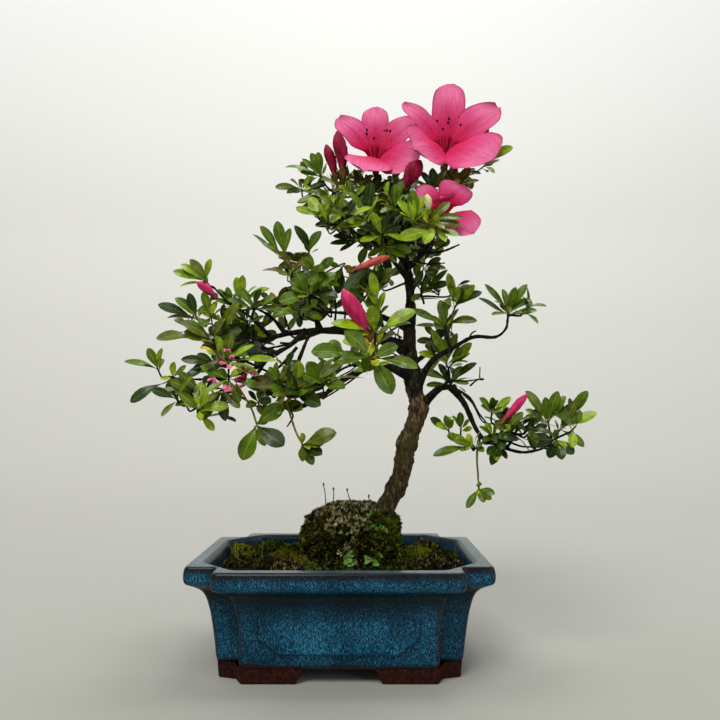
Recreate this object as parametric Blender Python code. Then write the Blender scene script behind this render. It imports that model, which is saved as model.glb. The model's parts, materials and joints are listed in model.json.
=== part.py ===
"""Azalea bonsai in a glazed rectangular pot, built as an assembly of named solids.

The pot stands on four L-shaped feet and holds soil with a moss mound. The trunk rises out of the
mound, leans to the right and carries the boughs. Each mass of leaves grows by one rule from the tip
of its bough and keeps to a cell of its own. The sizes are millimetres in the pot's own frame, with x
to the right, y to the back and z up. The last step turns them into metres and sets the origin under
the middle of the whole plant.
"""

import math
import random
from collections import namedtuple

import bmesh
import bpy
from mathutils import Matrix, Vector, noise
from mathutils.bvhtree import BVHTree

MM = 0.001
GAP = 0.3
GOLDEN_ANGLE = math.pi * (3 - math.sqrt(5))
UP = Vector((0, 0, 1))

# Pot: outer size at the rim, and the recessed corners of its plan
POT_LENGTH = 205
POT_DEPTH = 150
NOTCH_X = 22
NOTCH_Y = 18
NOTCH_SHRINK = 0.25
CORNER_RADIUS = 4
CORNER_STEPS = 2
POT_OUTSIDE = [
    (21, 10), (19.5, 14), (17.5, 30), (15.5, 43), (13, 53),
    (9.5, 58), (4, 62.5), (0, 66), (0, 71), (1.5, 75),
]
POT_INSIDE = [(10.5, 75), (12.5, 71), (22, 44), (27, 20)]
FOOT_INSET = 24
FOOT_TAPER = 1.5
FOOT_WIDTH = 12
FOOT_GAP_X = 45
FOOT_GAP_Y = 38
FOOT_SLANT = 6
DRAIN_RADIUS = 7
PANEL_OUTLINE = [(-39, 20.3), (39, 20.3), (52, 30.5), (52, 44), (-52, 44), (-52, 30.5)]
PANEL_PROUD = 1.0
PANEL_FADE = 1.3

# Soil and moss mound
SOIL_TOP = 66
MOUND_CENTRE = (7, 2)
MOUND_HALF = (38, 38)
MOUND_TOP = 109
MOUND_BUMP = 2.4

# Trunk: centre line, taper and burls as (height, extra radius, spread)
TRUNK_LINE = [
    (14, 0, 60), (24, 0, 90), (43, -2, 127), (48, -3, 152), (57, -4, 177),
    (54, -2, 195), (51, 0, 225), (52, 0, 262), (49, 0, 292), (44, -2, 322),
]
TRUNK_FOOT_RADIUS = 8.6
TRUNK_TIP_RADIUS = 2.4
ROOT_FLARE = 4.5
ROOT_FLARE_HEIGHT = 14
BURLS = [(150, 2.2, 8), (178, 1.8, 7), (205, 1.2, 8)]

THIN_LIMB = 2
TWIG_BASE_RADIUS = 1.1
TWIG_TIP_RADIUS = 0.8
TWIG_SINK = 0.4
TWIG_LEAN = 0.35
TWIG_NODE_STEP = 3
STEM_LEAD = 1.2
TWIG_SPANS = 1
TWIG_CLEARANCE = 0.2
LEAF_LENGTH = 34
LEAF_WIDTH_SHARE = 0.64
LEAF_THICKNESS = 0.9
LEAF_ARCH = 0.1
LEAF_SINK = 0.35
LEAF_CLEARANCE = 0.3
LEAF_SIZES = (1, 0.86, 0.72)
LEAVES_PER_SHOOT = 6
SHOOT_LENGTH = 8
SHOOT_MARGIN = 12
SHOOT_DROP = 3
LIGHT_PULL = 0.7
LIGHT_PARTING = 20
CELL_GAP = 0.1
SPACE_SLACK = 1.35
BUD_GIRTH = 0.15
LOBE_SPREAD = 20
LOBE_RISE = 0.27
NOTCH_REACH = 0.62
THROAT_SHARE = 0.09
ORGAN_SINK = 2

Limb = namedtuple("Limb", "parent line base tip")
Mass = namedtuple("Mass", "limb centre half shoots")
Organ = namedtuple("Organ", "mass place facing size turn")
Shoot = namedtuple("Shoot", "mass place facing")
End = namedtuple("End", "place axis organ")

# Boughs: the limb that each one leaves, its line and its radius at both ends
LIMBS = {
    "left_high_bough": Limb(
        "trunk", [(51, 0, 224), (22, -8, 233), (-3, -15, 236), (-32, -22, 234), (-58, -30, 227)], 4.4, 1.9
    ),
    "left_fork_bough": Limb(
        "left_high_bough", [(-26, -21, 235), (-39, -34, 221), (-54, -42, 215), (-66, -46, 211)], 2.2, 1.3
    ),
    "left_reach_bough": Limb(
        "left_fork_bough",
        [(-42, -36, 220), (-53, -48, 209), (-66, -52, 202), (-90, -51, 198), (-113, -47, 199)],
        1.3,
        0.9,
    ),
    "left_rise_bough": Limb(
        "left_high_bough", [(-50, -27, 229), (-64, -33, 243), (-78, -38, 252), (-89, -40, 263)], 1.4, 1.0
    ),
    "left_crest_bough": Limb(
        "left_high_bough", [(-40, -24, 232), (-50, -25, 244), (-60, -30, 250)], 1.6, 1.1
    ),
    "left_under_bough": Limb(
        "left_fork_bough", [(-50, -40, 217), (-58, -46, 201), (-72, -52, 190), (-84, -53, 187)], 1.4, 1.0
    ),
    "upper_left_bough": Limb(
        "left_high_bough", [(-16, -18, 236), (-20, -16, 249), (-24, -15, 259)], 2.2, 1.4
    ),
    "inner_bough": Limb(
        "left_high_bough", [(-22, -20, 235), (-28, -34, 218), (-34, -44, 199)], 1.3, 1.0
    ),
    "left_low_bough": Limb(
        "trunk",
        [
            (53, -1, 202), (34, -20, 209), (20, -38, 207), (4, -52, 198), (-12, -60, 186),
            (-30, -64, 178),
        ],
        3.4,
        1.2,
    ),
    "front_bough": Limb("left_low_bough", [(20, -38, 207), (20, -56, 206), (21, -70, 209)], 1.8, 1.2),
    "front_rise_bough": Limb(
        "left_high_bough", [(33, -5, 230), (30, -20, 239), (27, -34, 250)], 1.6, 1.1
    ),
    "crown_left_bough": Limb(
        "trunk", [(49, 0, 292), (30, -4, 310), (10, -4, 328), (-4, -2, 343)], 2.6, 1.3
    ),
    "crown_front_left_bough": Limb("trunk", [(51, 0, 278), (38, -16, 288), (24, -26, 299)], 2.2, 1.3),
    "crown_right_bough": Limb(
        "trunk", [(50, 0, 287), (62, -3, 298), (72, -8, 314), (79, -11, 330)], 2.4, 1.3
    ),
    "crown_back_bough": Limb("trunk", [(51, 0, 282), (51, 16, 294), (49, 30, 309)], 2.2, 1.3),
    "high_stub": Limb("crown_right_bough", [(62, -3, 298), (76, -2, 299), (90, 0, 305)], 1.3, 0.9),
    "right_high_bough": Limb(
        "trunk",
        [
            (55, -3, 190), (66, -8, 213), (83, -10, 224), (98, -10, 232), (114, -10, 232),
            (122, -10, 238), (124, -10, 247),
        ],
        2.9,
        1.1,
    ),
    "right_spur_bough": Limb(
        "right_high_bough", [(81, -10, 223), (78, -9, 233), (77, -8, 241)], 1.2, 0.9
    ),
    "right_low_bough": Limb(
        "trunk", [(57, -4, 179), (66, -6, 188), (73, -8, 194), (81, -10, 195)], 3.6, 2.6
    ),
    "right_fall_bough": Limb(
        "right_low_bough",
        [
            (81.6, -10.2, 194.8), (90, -14, 182), (98, -18, 163), (106, -21, 155),
            (126, -24, 148), (139, -24, 149), (147, -24, 152),
        ],
        2.4,
        1.1,
    ),
    "right_stub": Limb("right_low_bough", [(73, -9, 194), (80, -14, 199), (91, -12, 199), (104, -9, 201)], 1.1, 0.7),
    "right_middle_bough": Limb(
        "right_low_bough", [(76, -9, 195), (79, -3, 201), (81, 1, 205)], 1.4, 1.0
    ),
    "right_inner_bough": Limb(
        "right_fall_bough", [(100, -19, 160), (98, -23, 153), (94, -25, 149)], 1.2, 0.9
    ),
    "right_near_bough": Limb(
        "right_fall_bough", [(118, -23, 151), (121, -27, 156), (122, -29, 160)], 1.2, 0.9
    ),
    "back_left_bough": Limb(
        "trunk", [(51, 0, 240), (30, 22, 252), (0, 38, 258), (-20, 44, 260)], 3.0, 1.4
    ),
    "back_low_bough": Limb(
        "back_left_bough", [(20, 28, 255), (-10, 30, 244), (-44, 32, 232), (-62, 33, 228)], 1.8, 1.2
    ),
    "back_right_bough": Limb("trunk", [(52, -1, 212), (66, 22, 222), (80, 38, 228)], 2.4, 1.3),
}

# Masses of leaves: the limb whose tip holds each one, its centre, its half sizes and its shoots
MASSES = {
    "left_tip_leaves": Mass("left_reach_bough", (-128, -46, 200), (24, 22, 22), 2),
    "left_top_leaves": Mass("left_rise_bough", (-101, -41, 271), (24, 20, 19), 2),
    "left_shoulder_leaves": Mass("left_high_bough", (-97, -42, 238), (33, 26, 19), 5),
    "left_crest_leaves": Mass("left_crest_bough", (-66, -32, 259), (27, 26, 20), 4),
    "left_middle_leaves": Mass("left_fork_bough", (-78, -52, 211), (27, 26, 20), 4),
    "left_under_leaves": Mass("left_under_bough", (-97, -53, 183), (29, 24, 18), 5),
    "inner_leaves": Mass("inner_bough", (-30, -52, 193), (27, 24, 18), 4),
    "inner_hang_leaves": Mass("left_low_bough", (-22, -64, 158), (22, 20, 22), 1),
    "upper_left_leaves": Mass("upper_left_bough", (-28, -15, 278), (33, 28, 38), 9),
    "front_leaves": Mass("front_bough", (20, -86, 217), (31, 26, 27), 4),
    "front_rise_leaves": Mass("front_rise_bough", (30, -38, 265), (21, 22, 24), 3),
    "crown_left_leaves": Mass("crown_left_bough", (-20, 0, 358), (32, 28, 23), 5),
    "crown_right_leaves": Mass("crown_right_bough", (88, -14, 348), (33, 30, 27), 6),
    "crown_front_left_leaves": Mass("crown_front_left_bough", (4, -34, 312), (36, 28, 23), 8),
    "crown_front_leaves": Mass("trunk", (44, -42, 322), (27, 26, 28), 6),
    "crown_top_leaves": Mass("trunk", (36, 2, 355), (33, 30, 22), 5),
    "crown_back_leaves": Mass("crown_back_bough", (48, 48, 330), (42, 32, 34), 7),
    "right_upper_leaves": Mass("trunk", (76, 4, 278), (23, 24, 26), 4),
    "right_spur_leaves": Mass("right_spur_bough", (81, -7, 251), (25, 22, 20), 3),
    "right_tip_leaves": Mass("right_high_bough", (125, -10, 257), (25, 22, 16), 2),
    "right_middle_leaves": Mass("right_middle_bough", (84, 9, 213), (25, 22, 22), 3),
    "right_inner_leaves": Mass("right_inner_bough", (84, -26, 158), (25, 22, 19), 3),
    "right_near_leaves": Mass("right_near_bough", (123, -31, 169), (22, 22, 19), 4),
    "right_far_leaves": Mass("right_fall_bough", (158, -24, 168), (27, 26, 23), 5),
    "back_left_leaves": Mass("back_left_bough", (-42, 48, 272), (32, 30, 27), 5),
    "back_low_leaves": Mass("back_low_bough", (-84, 34, 236), (28, 28, 22), 4),
    "back_middle_leaves": Mass("trunk", (28, 52, 285), (28, 26, 24), 3),
    "back_right_leaves": Mass("back_right_bough", (93, 48, 237), (28, 28, 24), 4),
}

# Long bare shoots that hang below their mass: the mass, the place of the tip and the way it points
HANGING = {
    "left_hanging_shoot": Shoot("left_under_leaves", (-58, -60, 165), (0.25, -0.1, -1)),
    "right_hanging_shoot": Shoot("right_inner_leaves", (98, -26, 122), (0.05, 0, -1)),
    "inner_hanging_shoot": Shoot("inner_hang_leaves", (-22, -63, 156), (0.35, -0.1, -0.9)),
}

# Blossom: the mass that carries it, its base, the way it faces, its width or length and its turn in degrees
BLOOMS = {
    "bloom_top": Organ("crown_right_leaves", (77, -19, 369), (-0.03, -0.94, 0.33), 80, 0),
    "bloom_left": Organ("crown_top_leaves", (26, 0, 369), (-0.02, -0.91, 0.42), 68, 0),
    "bloom_right": Organ("crown_front_leaves", (72, -20, 321), (0.35, -0.92, 0.15), 54, -37),
    "bloom_back": Organ("crown_back_leaves", (50, 62, 340), (0.2, 0.85, 0.4), 60, 20),
}
BUDS = {
    "bud_front": Organ("front_leaves", (20, -90, 224), (-0.53, -0.12, 0.84), 33, 0),
    "bud_left": Organ("left_shoulder_leaves", (-88, -49, 256), (-0.78, -0.4, 0.5), 19, 0),
    "bud_right": Organ("right_near_leaves", (113, -33, 167), (0.67, -0.05, 0.74), 29, 0),
    "bud_crown_tall": Organ("crown_left_leaves", (1, -27, 350), (-0.15, -0.06, 1), 34, 0),
    "bud_crown_short": Organ("crown_left_leaves", (-5, -22, 349), (-0.26, -0.08, 1), 28, 0),
    "bud_crown_right": Organ("crown_front_leaves", (45, -34, 339), (0.64, -0.15, 0.76), 23, 0),
    "bud_crown_pale": Organ("crown_front_leaves", (61, -55, 313), (-0.05, -0.1, 1), 14, 0),
    "bud_back": Organ("back_left_leaves", (-46, 58, 282), (-0.3, 0.5, 0.8), 28, 0),
}

# Colours: base colour, roughness
FINISHES = {
    "glaze": ((0.02, 0.13, 0.24), 0.15),
    "soil": ((0.05, 0.035, 0.02), 0.95),
    "moss": ((0.10, 0.12, 0.03), 0.95),
    "bark": ((0.09, 0.065, 0.045), 0.85),
    "foliage": ((0.08, 0.22, 0.03), 0.4),
}


def material(name):
    """The material of that name, made on its first use."""
    found = bpy.data.materials.get(name)
    if found:
        return found
    colour, roughness = FINISHES[name]
    made = bpy.data.materials.new(name)
    made.use_nodes = True
    shader = made.node_tree.nodes["Principled BSDF"]
    shader.inputs["Base Color"].default_value = (*colour, 1)
    shader.inputs["Roughness"].default_value = roughness
    made.diffuse_color = (*colour, 1)
    return made


def add_object(name, mesh, collection, finish=None):
    made = bpy.data.objects.new(name, mesh)
    collection.objects.link(made)
    if finish:
        mesh.materials.clear()
        mesh.materials.append(material(finish))
    return made


def smooth_line(points, per_span):
    """Points along a Catmull-Rom curve through the given points."""
    p = [Vector(q) for q in points]
    p = [2 * p[0] - p[1], *p, 2 * p[-1] - p[-2]]
    line = []
    for a, b, c, d in zip(p, p[1:], p[2:], p[3:]):
        for k in range(per_span):
            t = k / per_span
            square = (2 * a - 5 * b + 4 * c - d) * t**2
            cube = (3 * b - a - 3 * c + d) * t**3
            line.append(0.5 * (2 * b + (c - a) * t + square + cube))
    line.append(p[-2])
    return line


def nearest_on_line(place, line):
    """The point of a line that lies nearest to a place."""
    place = Vector(place)
    best = line[0]
    for a, b in zip(line, line[1:]):
        t = (place - a).dot(b - a) / (b - a).length_squared
        point = a.lerp(b, min(1, max(0, t)))
        if (point - place).length < (best - place).length:
            best = point
    return best


def taper(line, base, tip):
    """A radius for each point of the line, falling evenly along its length."""
    run = [0.0]
    for a, b in zip(line, line[1:]):
        run.append(run[-1] + (b - a).length)
    return [base + (tip - base) * s / run[-1] for s in run]


def tube(name, line, radii, collection, sides=None, resolution=1):
    """A closed mesh tube along the line. sides is a profile curve, and without it the section is round."""
    curve = bpy.data.curves.new(name, "CURVE")
    curve.dimensions = "3D"
    curve.use_fill_caps = True
    if sides:
        curve.bevel_mode = "OBJECT"
        curve.bevel_object = sides
    else:
        curve.bevel_depth = 1
        curve.bevel_resolution = resolution
    spline = curve.splines.new("POLY")
    spline.points.add(len(line) - 1)
    for point, place, radius in zip(spline.points, line, radii):
        point.co = (*place, 1)
        point.radius = radius
    return curve_to_mesh(add_object(name, curve, collection), collection)


def curve_to_mesh(drawn, collection):
    """The curve's evaluated mesh with its caps welded, in place of the curve."""
    name = drawn.name
    graph = bpy.context.evaluated_depsgraph_get()
    mesh = bpy.data.meshes.new_from_object(drawn.evaluated_get(graph))
    place = drawn.matrix_world.copy()
    bpy.data.objects.remove(drawn)
    weld(mesh)
    made = add_object(name, mesh, collection)
    made.matrix_world = place
    return made


def weld(mesh):
    bm = bmesh.new()
    bm.from_mesh(mesh)
    bmesh.ops.remove_doubles(bm, verts=bm.verts, dist=0.001)
    bm.normal_update()
    bmesh.ops.recalc_face_normals(bm, faces=bm.faces)
    bm.to_mesh(mesh)
    bm.free()


def difference(obj, cutter):
    cut = obj.modifiers.new("Clear_" + cutter.name, "BOOLEAN")
    cut.operation = "DIFFERENCE"
    cut.solver = "EXACT"
    cut.object = cutter


def as_cutter(obj):
    obj.hide_render = True
    obj.display_type = "WIRE"
    return obj


def plan(inset, radius=CORNER_RADIUS, steps=CORNER_STEPS):
    """The pot's plan, a rectangle with recessed corners, moved inwards by inset."""
    a, b = POT_LENGTH / 2 - inset, POT_DEPTH / 2 - inset
    nx, ny = NOTCH_X - NOTCH_SHRINK * inset, NOTCH_Y - NOTCH_SHRINK * inset
    quarter = [(a, b - ny), (a - nx, b - ny), (a - nx, b)]
    signs = [(1, 1), (-1, 1), (-1, -1), (1, -1)]
    corners = []
    for sx, sy in signs:
        run = [(sx * x, sy * y) for x, y in quarter]
        corners += run if sx * sy > 0 else run[::-1]
    outline = []
    for k, corner in enumerate(corners):
        here = Vector(corner)
        before = (Vector(corners[k - 1]) - here).normalized() * radius
        after = (Vector(corners[(k + 1) % len(corners)]) - here).normalized() * radius
        for step in range(steps):
            t = step / (steps - 1)
            outline.append(here + before * (1 - t) ** 2 + after * t**2)
    return outline


def loft(name, sections, collection, finish):
    """A closed solid through sections of one point count, each a list of points, with flat ends."""
    bm = bmesh.new()
    rings = [[bm.verts.new(p) for p in section] for section in sections]
    for low, high in zip(rings, rings[1:]):
        for k in range(len(low)):
            m = (k + 1) % len(low)
            bm.faces.new((low[k], low[m], high[m], high[k]))
    bm.faces.new(rings[0][::-1])
    bm.faces.new(rings[-1])
    bm.normal_update()
    bmesh.ops.recalc_face_normals(bm, faces=bm.faces)
    mesh = bpy.data.meshes.new(name)
    bm.to_mesh(mesh)
    bm.free()
    return add_object(name, mesh, collection, finish)


def at_height(outline, z):
    return [(x, y, z) for x, y in outline]


def foot_gap(name, half_span, along_x, cutters):
    """A prism with slanted ends that parts the foot ring. It runs right across the pot."""
    reach, top = POT_LENGTH, POT_OUTSIDE[0][1]
    sections = []
    for side in (-reach, reach):
        wide = half_span + FOOT_SLANT
        corners = [(-wide, -1), (wide, -1), (half_span, top), (-half_span, top)]
        sections.append([(u, side, z) if along_x else (side, u, z) for u, z in corners])
    return as_cutter(loft(name, sections, cutters, None))


def inset_at(profile, z):
    """How far a profile of (inset, height) pairs lies inside the rim at a height."""
    for (d0, z0), (d1, z1) in zip(profile, profile[1:]):
        if min(z0, z1) <= z <= max(z0, z1):
            return d0 + (d1 - d0) * (z - z0) / (z1 - z0)
    return profile[-1][0]


def raised_panel(name, side, cutters):
    """A low panel on a long wall. It stands out most at its lower edge and fades into the wall above."""
    low = min(z for _, z in PANEL_OUTLINE)
    high = max(z for _, z in PANEL_OUTLINE)
    front, back = [], []
    for x, z in PANEL_OUTLINE:
        wall = POT_DEPTH / 2 - inset_at(POT_OUTSIDE, z)
        proud = PANEL_PROUD - PANEL_FADE * (z - low) / (high - low)
        front.append((x, side * (wall + proud), z))
        back.append((x, side * (wall - 2), z))
    return as_cutter(loft(name, [back, front], cutters, None))


def make_pot(parts, cutters):
    """A tapered pot with a heavy lip, a raised panel on both long sides and four L-shaped feet."""
    sections = [at_height(plan(inset), z) for inset, z in POT_OUTSIDE + POT_INSIDE]
    pot = loft("pot", sections, parts, "glaze")
    foot_top = POT_OUTSIDE[0][1]
    overlap = 2
    feet = loft(
        "feet",
        [at_height(plan(FOOT_INSET + FOOT_TAPER), 0), at_height(plan(FOOT_INSET), foot_top + overlap)],
        cutters,
        None,
    )
    within = FOOT_INSET + FOOT_WIDTH
    hollow = loft(
        "foot_hollow", [at_height(plan(within), -1), at_height(plan(within), foot_top)], cutters, None
    )
    for cutter in (
        as_cutter(hollow),
        foot_gap("foot_gap_front", FOOT_GAP_X / 2, True, cutters),
        foot_gap("foot_gap_side", FOOT_GAP_Y / 2, False, cutters),
    ):
        difference(feet, cutter)
    panels = [raised_panel("panel_" + str(side), side, cutters) for side in (-1, 1)]
    for added in (as_cutter(feet), *panels):
        join = pot.modifiers.new("Join_" + added.name, "BOOLEAN")
        join.operation = "UNION"
        join.object = added
    bm = bmesh.new()
    radii = {"radius1": DRAIN_RADIUS, "radius2": DRAIN_RADIUS}
    bmesh.ops.create_cone(bm, cap_ends=True, segments=16, depth=40, **radii)
    bmesh.ops.translate(bm, verts=bm.verts, vec=(0, 0, 15))
    mesh = bpy.data.meshes.new("drain")
    bm.to_mesh(mesh)
    bm.free()
    difference(pot, as_cutter(add_object("drain", mesh, cutters)))
    return pot


def make_soil(parts):
    """The soil, which fills the pot to a little below its rim."""
    levels = [POT_INSIDE[-1][1] + GAP, 44, SOIL_TOP]
    sections = [at_height(plan(inset_at(POT_INSIDE, z) + 2 * GAP), z) for z in levels]
    return loft("soil", sections, parts, "soil")


def make_mound(parts, trunk_clearance):
    """A steep lumpy dome of moss on the soil, cut clear of the trunk that comes out of it."""
    bm = bmesh.new()
    bmesh.ops.create_uvsphere(bm, u_segments=18, v_segments=12, radius=1)
    height = MOUND_TOP - SOIL_TOP
    for vertex in bm.verts:
        d = vertex.co.copy()
        steep = 0.7
        flat = math.hypot(d.x, d.y)
        spread = flat**steep / flat if flat > 1e-6 else 1
        x = MOUND_CENTRE[0] + d.x * spread * MOUND_HALF[0]
        y = MOUND_CENTRE[1] + d.y * spread * MOUND_HALF[1]
        z = SOIL_TOP + math.copysign(abs(d.z) ** 0.75, d.z) * height
        lump = 1 + noise.noise(Vector((x, y, z)) * 0.07) * MOUND_BUMP / 20
        vertex.co = (*(c + (v - c) * lump for c, v in zip(MOUND_CENTRE, (x, y))), z)
    mesh = bpy.data.meshes.new("moss_mound")
    bm.to_mesh(mesh)
    bm.free()
    cut_flat(mesh, SOIL_TOP + GAP)
    mound = add_object("moss_mound", mesh, parts, "moss")
    difference(mound, trunk_clearance)
    return mound


def trunk_radii(line):
    """The trunk's radius along its line: an even taper, the root flare and the burls."""
    radii = taper(line, TRUNK_FOOT_RADIUS, TRUNK_TIP_RADIUS)
    for k, place in enumerate(line):
        radii[k] += ROOT_FLARE * math.exp(-max(0, place.z - SOIL_TOP) / ROOT_FLARE_HEIGHT)
        for height, extra, spread in BURLS:
            radii[k] += extra * math.exp(-(((place.z - height) / spread) ** 2))
    return radii


def cut_flat(mesh, z):
    """Cuts off what lies below a height and closes the mesh there."""
    bm = bmesh.new()
    bm.from_mesh(mesh)
    everything = [*bm.verts, *bm.edges, *bm.faces]
    plane = {"plane_co": (0, 0, z), "plane_no": (0, 0, -1)}
    cut = bmesh.ops.bisect_plane(bm, geom=everything, clear_outer=True, **plane)
    bmesh.ops.holes_fill(bm, edges=[e for e in cut["geom_cut"] if isinstance(e, bmesh.types.BMEdge)])
    bm.normal_update()
    bmesh.ops.recalc_face_normals(bm, faces=bm.faces)
    bm.to_mesh(mesh)
    bm.free()


def limb_lines():
    """Each limb's line and radii, the trunk first."""
    trunk = smooth_line(TRUNK_LINE, 3)
    lines = {"trunk": (trunk, trunk_radii(trunk))}
    for name, limb in LIMBS.items():
        start = nearest_on_line(limb.line[0], lines[limb.parent][0])
        line = smooth_line([start, *limb.line[1:]], 2)
        lines[name] = (line, taper(line, limb.base, limb.tip))
    return lines


def clearance(line, radii):
    """A limb's line and radii, longer and wider by the gap that its neighbours keep."""
    first = (line[0] - line[1]).normalized() * GAP
    last = (line[-1] - line[-2]).normalized() * GAP
    return [line[0] + first, *line[1:-1], line[-1] + last], [r + GAP for r in radii]


def make_limbs(lines, parts, cutters):
    """The trunk and boughs. Each bough is cut clear of the limb that it leaves."""
    clearances = {}
    hosts = {limb.parent for limb in LIMBS.values()}
    for name, (line, radii) in lines.items():
        sides = 2 if name == "trunk" else 1 if radii[0] > THIN_LIMB else 0
        limb = tube(name, line, radii, parts, resolution=sides)
        limb.data.materials.append(material("bark"))
        if name == "trunk":
            cut_flat(limb.data, SOIL_TOP + GAP)
        else:
            difference(limb, clearances[LIMBS[name].parent])
        if name in hosts:
            cutter = tube(name + "_clearance", *clearance(line, radii), cutters, resolution=sides)
            clearances[name] = as_cutter(cutter)
    return clearances


def inside_cell(name, points):
    """True if the points are nearer to this mass than to any other, and clear of the border between them."""
    here = Vector(MASSES[name].centre)
    size = sum(MASSES[name].half) / 3
    for other, mass in MASSES.items():
        if other == name:
            continue
        there = Vector(mass.centre)
        apart = (there - here).length
        reach = sum(mass.half) / 3
        for p in points:
            mine = (p - here).length_squared - size**2
            theirs = (p - there).length_squared - reach**2
            if (theirs - mine) / (2 * apart) < CELL_GAP:
                return False
    return True


def inside_space(name, points):
    """True if the points lie in the mass's ellipsoid, with a little slack for leaf tips."""
    mass = MASSES[name]
    for p in points:
        d = p - Vector(mass.centre)
        if math.hypot(*(d[k] / mass.half[k] for k in range(3))) > SPACE_SLACK:
            return False
    return True


def shoot_tips(name):
    """Where the shoots of a mass end and which way they point: a golden spiral over an inner ellipsoid."""
    mass = MASSES[name]
    rng = random.Random(name)
    centre = Vector(mass.centre)
    turn = rng.uniform(0, math.tau)
    inner = [max(0, h - SHOOT_MARGIN) for h in mass.half]
    light = Vector((0, LIGHT_PULL if mass.centre[1] > LIGHT_PARTING else -LIGHT_PULL, 0))
    tips = []
    for k in range(mass.shoots):
        height = 0.95 - 1.4 * (k + 0.5) / mass.shoots
        flat = math.sqrt(1 - height**2)
        angle = turn + k * GOLDEN_ANGLE
        way = Vector((flat * math.cos(angle), flat * math.sin(angle), height))
        place = centre + Vector([w * i for w, i in zip(way, inner)]) * rng.uniform(0.85, 1.1)
        place.z -= SHOOT_DROP
        axis = (Vector((way.x, way.y, way.z * 0.4)) * 0.75 + UP * rng.uniform(0.6, 0.9) + light).normalized()
        tips.append((place, axis))
    return tips


def stem_start(name, lines):
    """The point where a mass's stem meets its limb, and the way it sets off."""
    mass = MASSES[name]
    line, radii = lines[mass.limb]
    centre = Vector(mass.centre)
    onwards = (line[-1] - line[-2]).normalized()
    near = min(range(len(line)), key=lambda k: (line[k] + UP * 12 - centre).length)
    if mass.limb != "trunk" or near == len(line) - 1:
        return line[-1] + onwards * GAP, onwards
    along = (line[near + 1] - line[near]).normalized()
    out = centre - line[near]
    out = (out - along * out.dot(along)).normalized()
    return line[near] + out * (radii[near] + GAP + 0.1), out


def bend(start, way, tip, axis):
    """A twig's line: it leaves start along way, curves round, and runs straight to its tip along axis."""
    neck = tip - axis * min(SHOOT_LENGTH + 2, (tip - start).length / 2)
    reach = (neck - start).length / 3
    a, b, c, d = start, start + way * reach, neck - axis * reach, neck
    line = []
    for k in range(TWIG_SPANS + 1):
        t = k / TWIG_SPANS
        line.append(a * (1 - t) ** 3 + 3 * b * t * (1 - t) ** 2 + 3 * c * t**2 * (1 - t) + d * t**3)
    return [*line, tip]


def search_tree(meshes):
    """One tree for overlap tests, of all the meshes."""
    points, faces = [], []
    for mesh in meshes:
        faces += [[len(points) + v for v in p.vertices] for p in mesh.polygons]
        points += [v.co.copy() for v in mesh.vertices]
    return BVHTree.FromPolygons(points, faces)


def twig_mesh(line, base, tip, helpers):
    """A three-sided twig as a mesh."""
    drawn = tube("twig", line, taper(line, base, tip), helpers, sides=bpy.data.objects["twig_profile"])
    mesh = drawn.data
    bpy.data.objects.remove(drawn)
    return mesh


def blocked(mesh, obstacles):
    tree = search_tree([mesh])
    return any(tree.overlap(other) for other in obstacles)


def branch(name, ends, lines, obstacles, helpers):
    """The twigs of a mass and the ends they reach. An end with no short clear way is left out."""
    start, way = stem_start(name, lines)
    nodes = [(start, 0, way)]
    twigs, reached = [], []
    for end in sorted(ends, key=lambda end: (end.place - start).length):
        order = sorted(nodes, key=lambda node: (end.place - node[0]).length + 0.4 * node[1])
        for place, run, onwards in order[:6]:
            if run == 0:
                base = TWIG_BASE_RADIUS
                line = [place, *bend(place + way * STEM_LEAD, way, end.place, end.axis)]
            else:
                base = TWIG_TIP_RADIUS
                first = (onwards * TWIG_LEAN + (end.place - place).normalized()).normalized()
                line = bend(place - first * TWIG_SINK, first, end.place, end.axis)
            wide = twig_mesh(line, base + TWIG_CLEARANCE, TWIG_TIP_RADIUS + TWIG_CLEARANCE, helpers)
            if not blocked(wide, obstacles):
                break
        else:
            continue
        nodes.remove((place, run, onwards))
        for a, b in zip(line, line[1:-1]):
            steps = math.ceil((b - a).length / TWIG_NODE_STEP)
            for k in range(1, steps + 1):
                nodes.append((a.lerp(b, k / steps), run + (b - a).length * k / steps, (b - a).normalized()))
            run += (b - a).length
        twigs.append(twig_mesh(line, base, TWIG_TIP_RADIUS, helpers))
        reached.append(end)
    return twigs, reached


def leaf_solid(length, spare=0):
    """A kite-shaped blade of four faces along +X, keeled and arched. spare widens it all round."""
    bm = bmesh.new()
    bmesh.ops.create_cone(bm, cap_ends=True, segments=3, radius1=1, radius2=0, depth=1)
    half = length * LEAF_WIDTH_SHARE / 2 + spare
    widest = length * 0.52
    edge = LEAF_THICKNESS + spare - LEAF_ARCH * widest
    tip = (length + spare, 0, -spare - LEAF_ARCH * length)
    corners = [(0, 0, -spare), tip, (widest, -half, edge), (widest, half, edge)]
    for vertex, corner in zip(bm.verts, corners):
        vertex.co = corner
    bm.normal_update()
    bmesh.ops.recalc_face_normals(bm, faces=bm.faces)
    mesh = bpy.data.meshes.new("leaf")
    bm.to_mesh(mesh)
    bm.free()
    return mesh


def facing_frame(place, along, facing):
    """A matrix that puts +X along a direction and +Z as near as it can to another."""
    x = along.normalized()
    y = facing.cross(x).normalized()
    z = x.cross(y)
    return Matrix.Translation(place) @ Matrix((x, y, z)).transposed().to_4x4()


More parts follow.
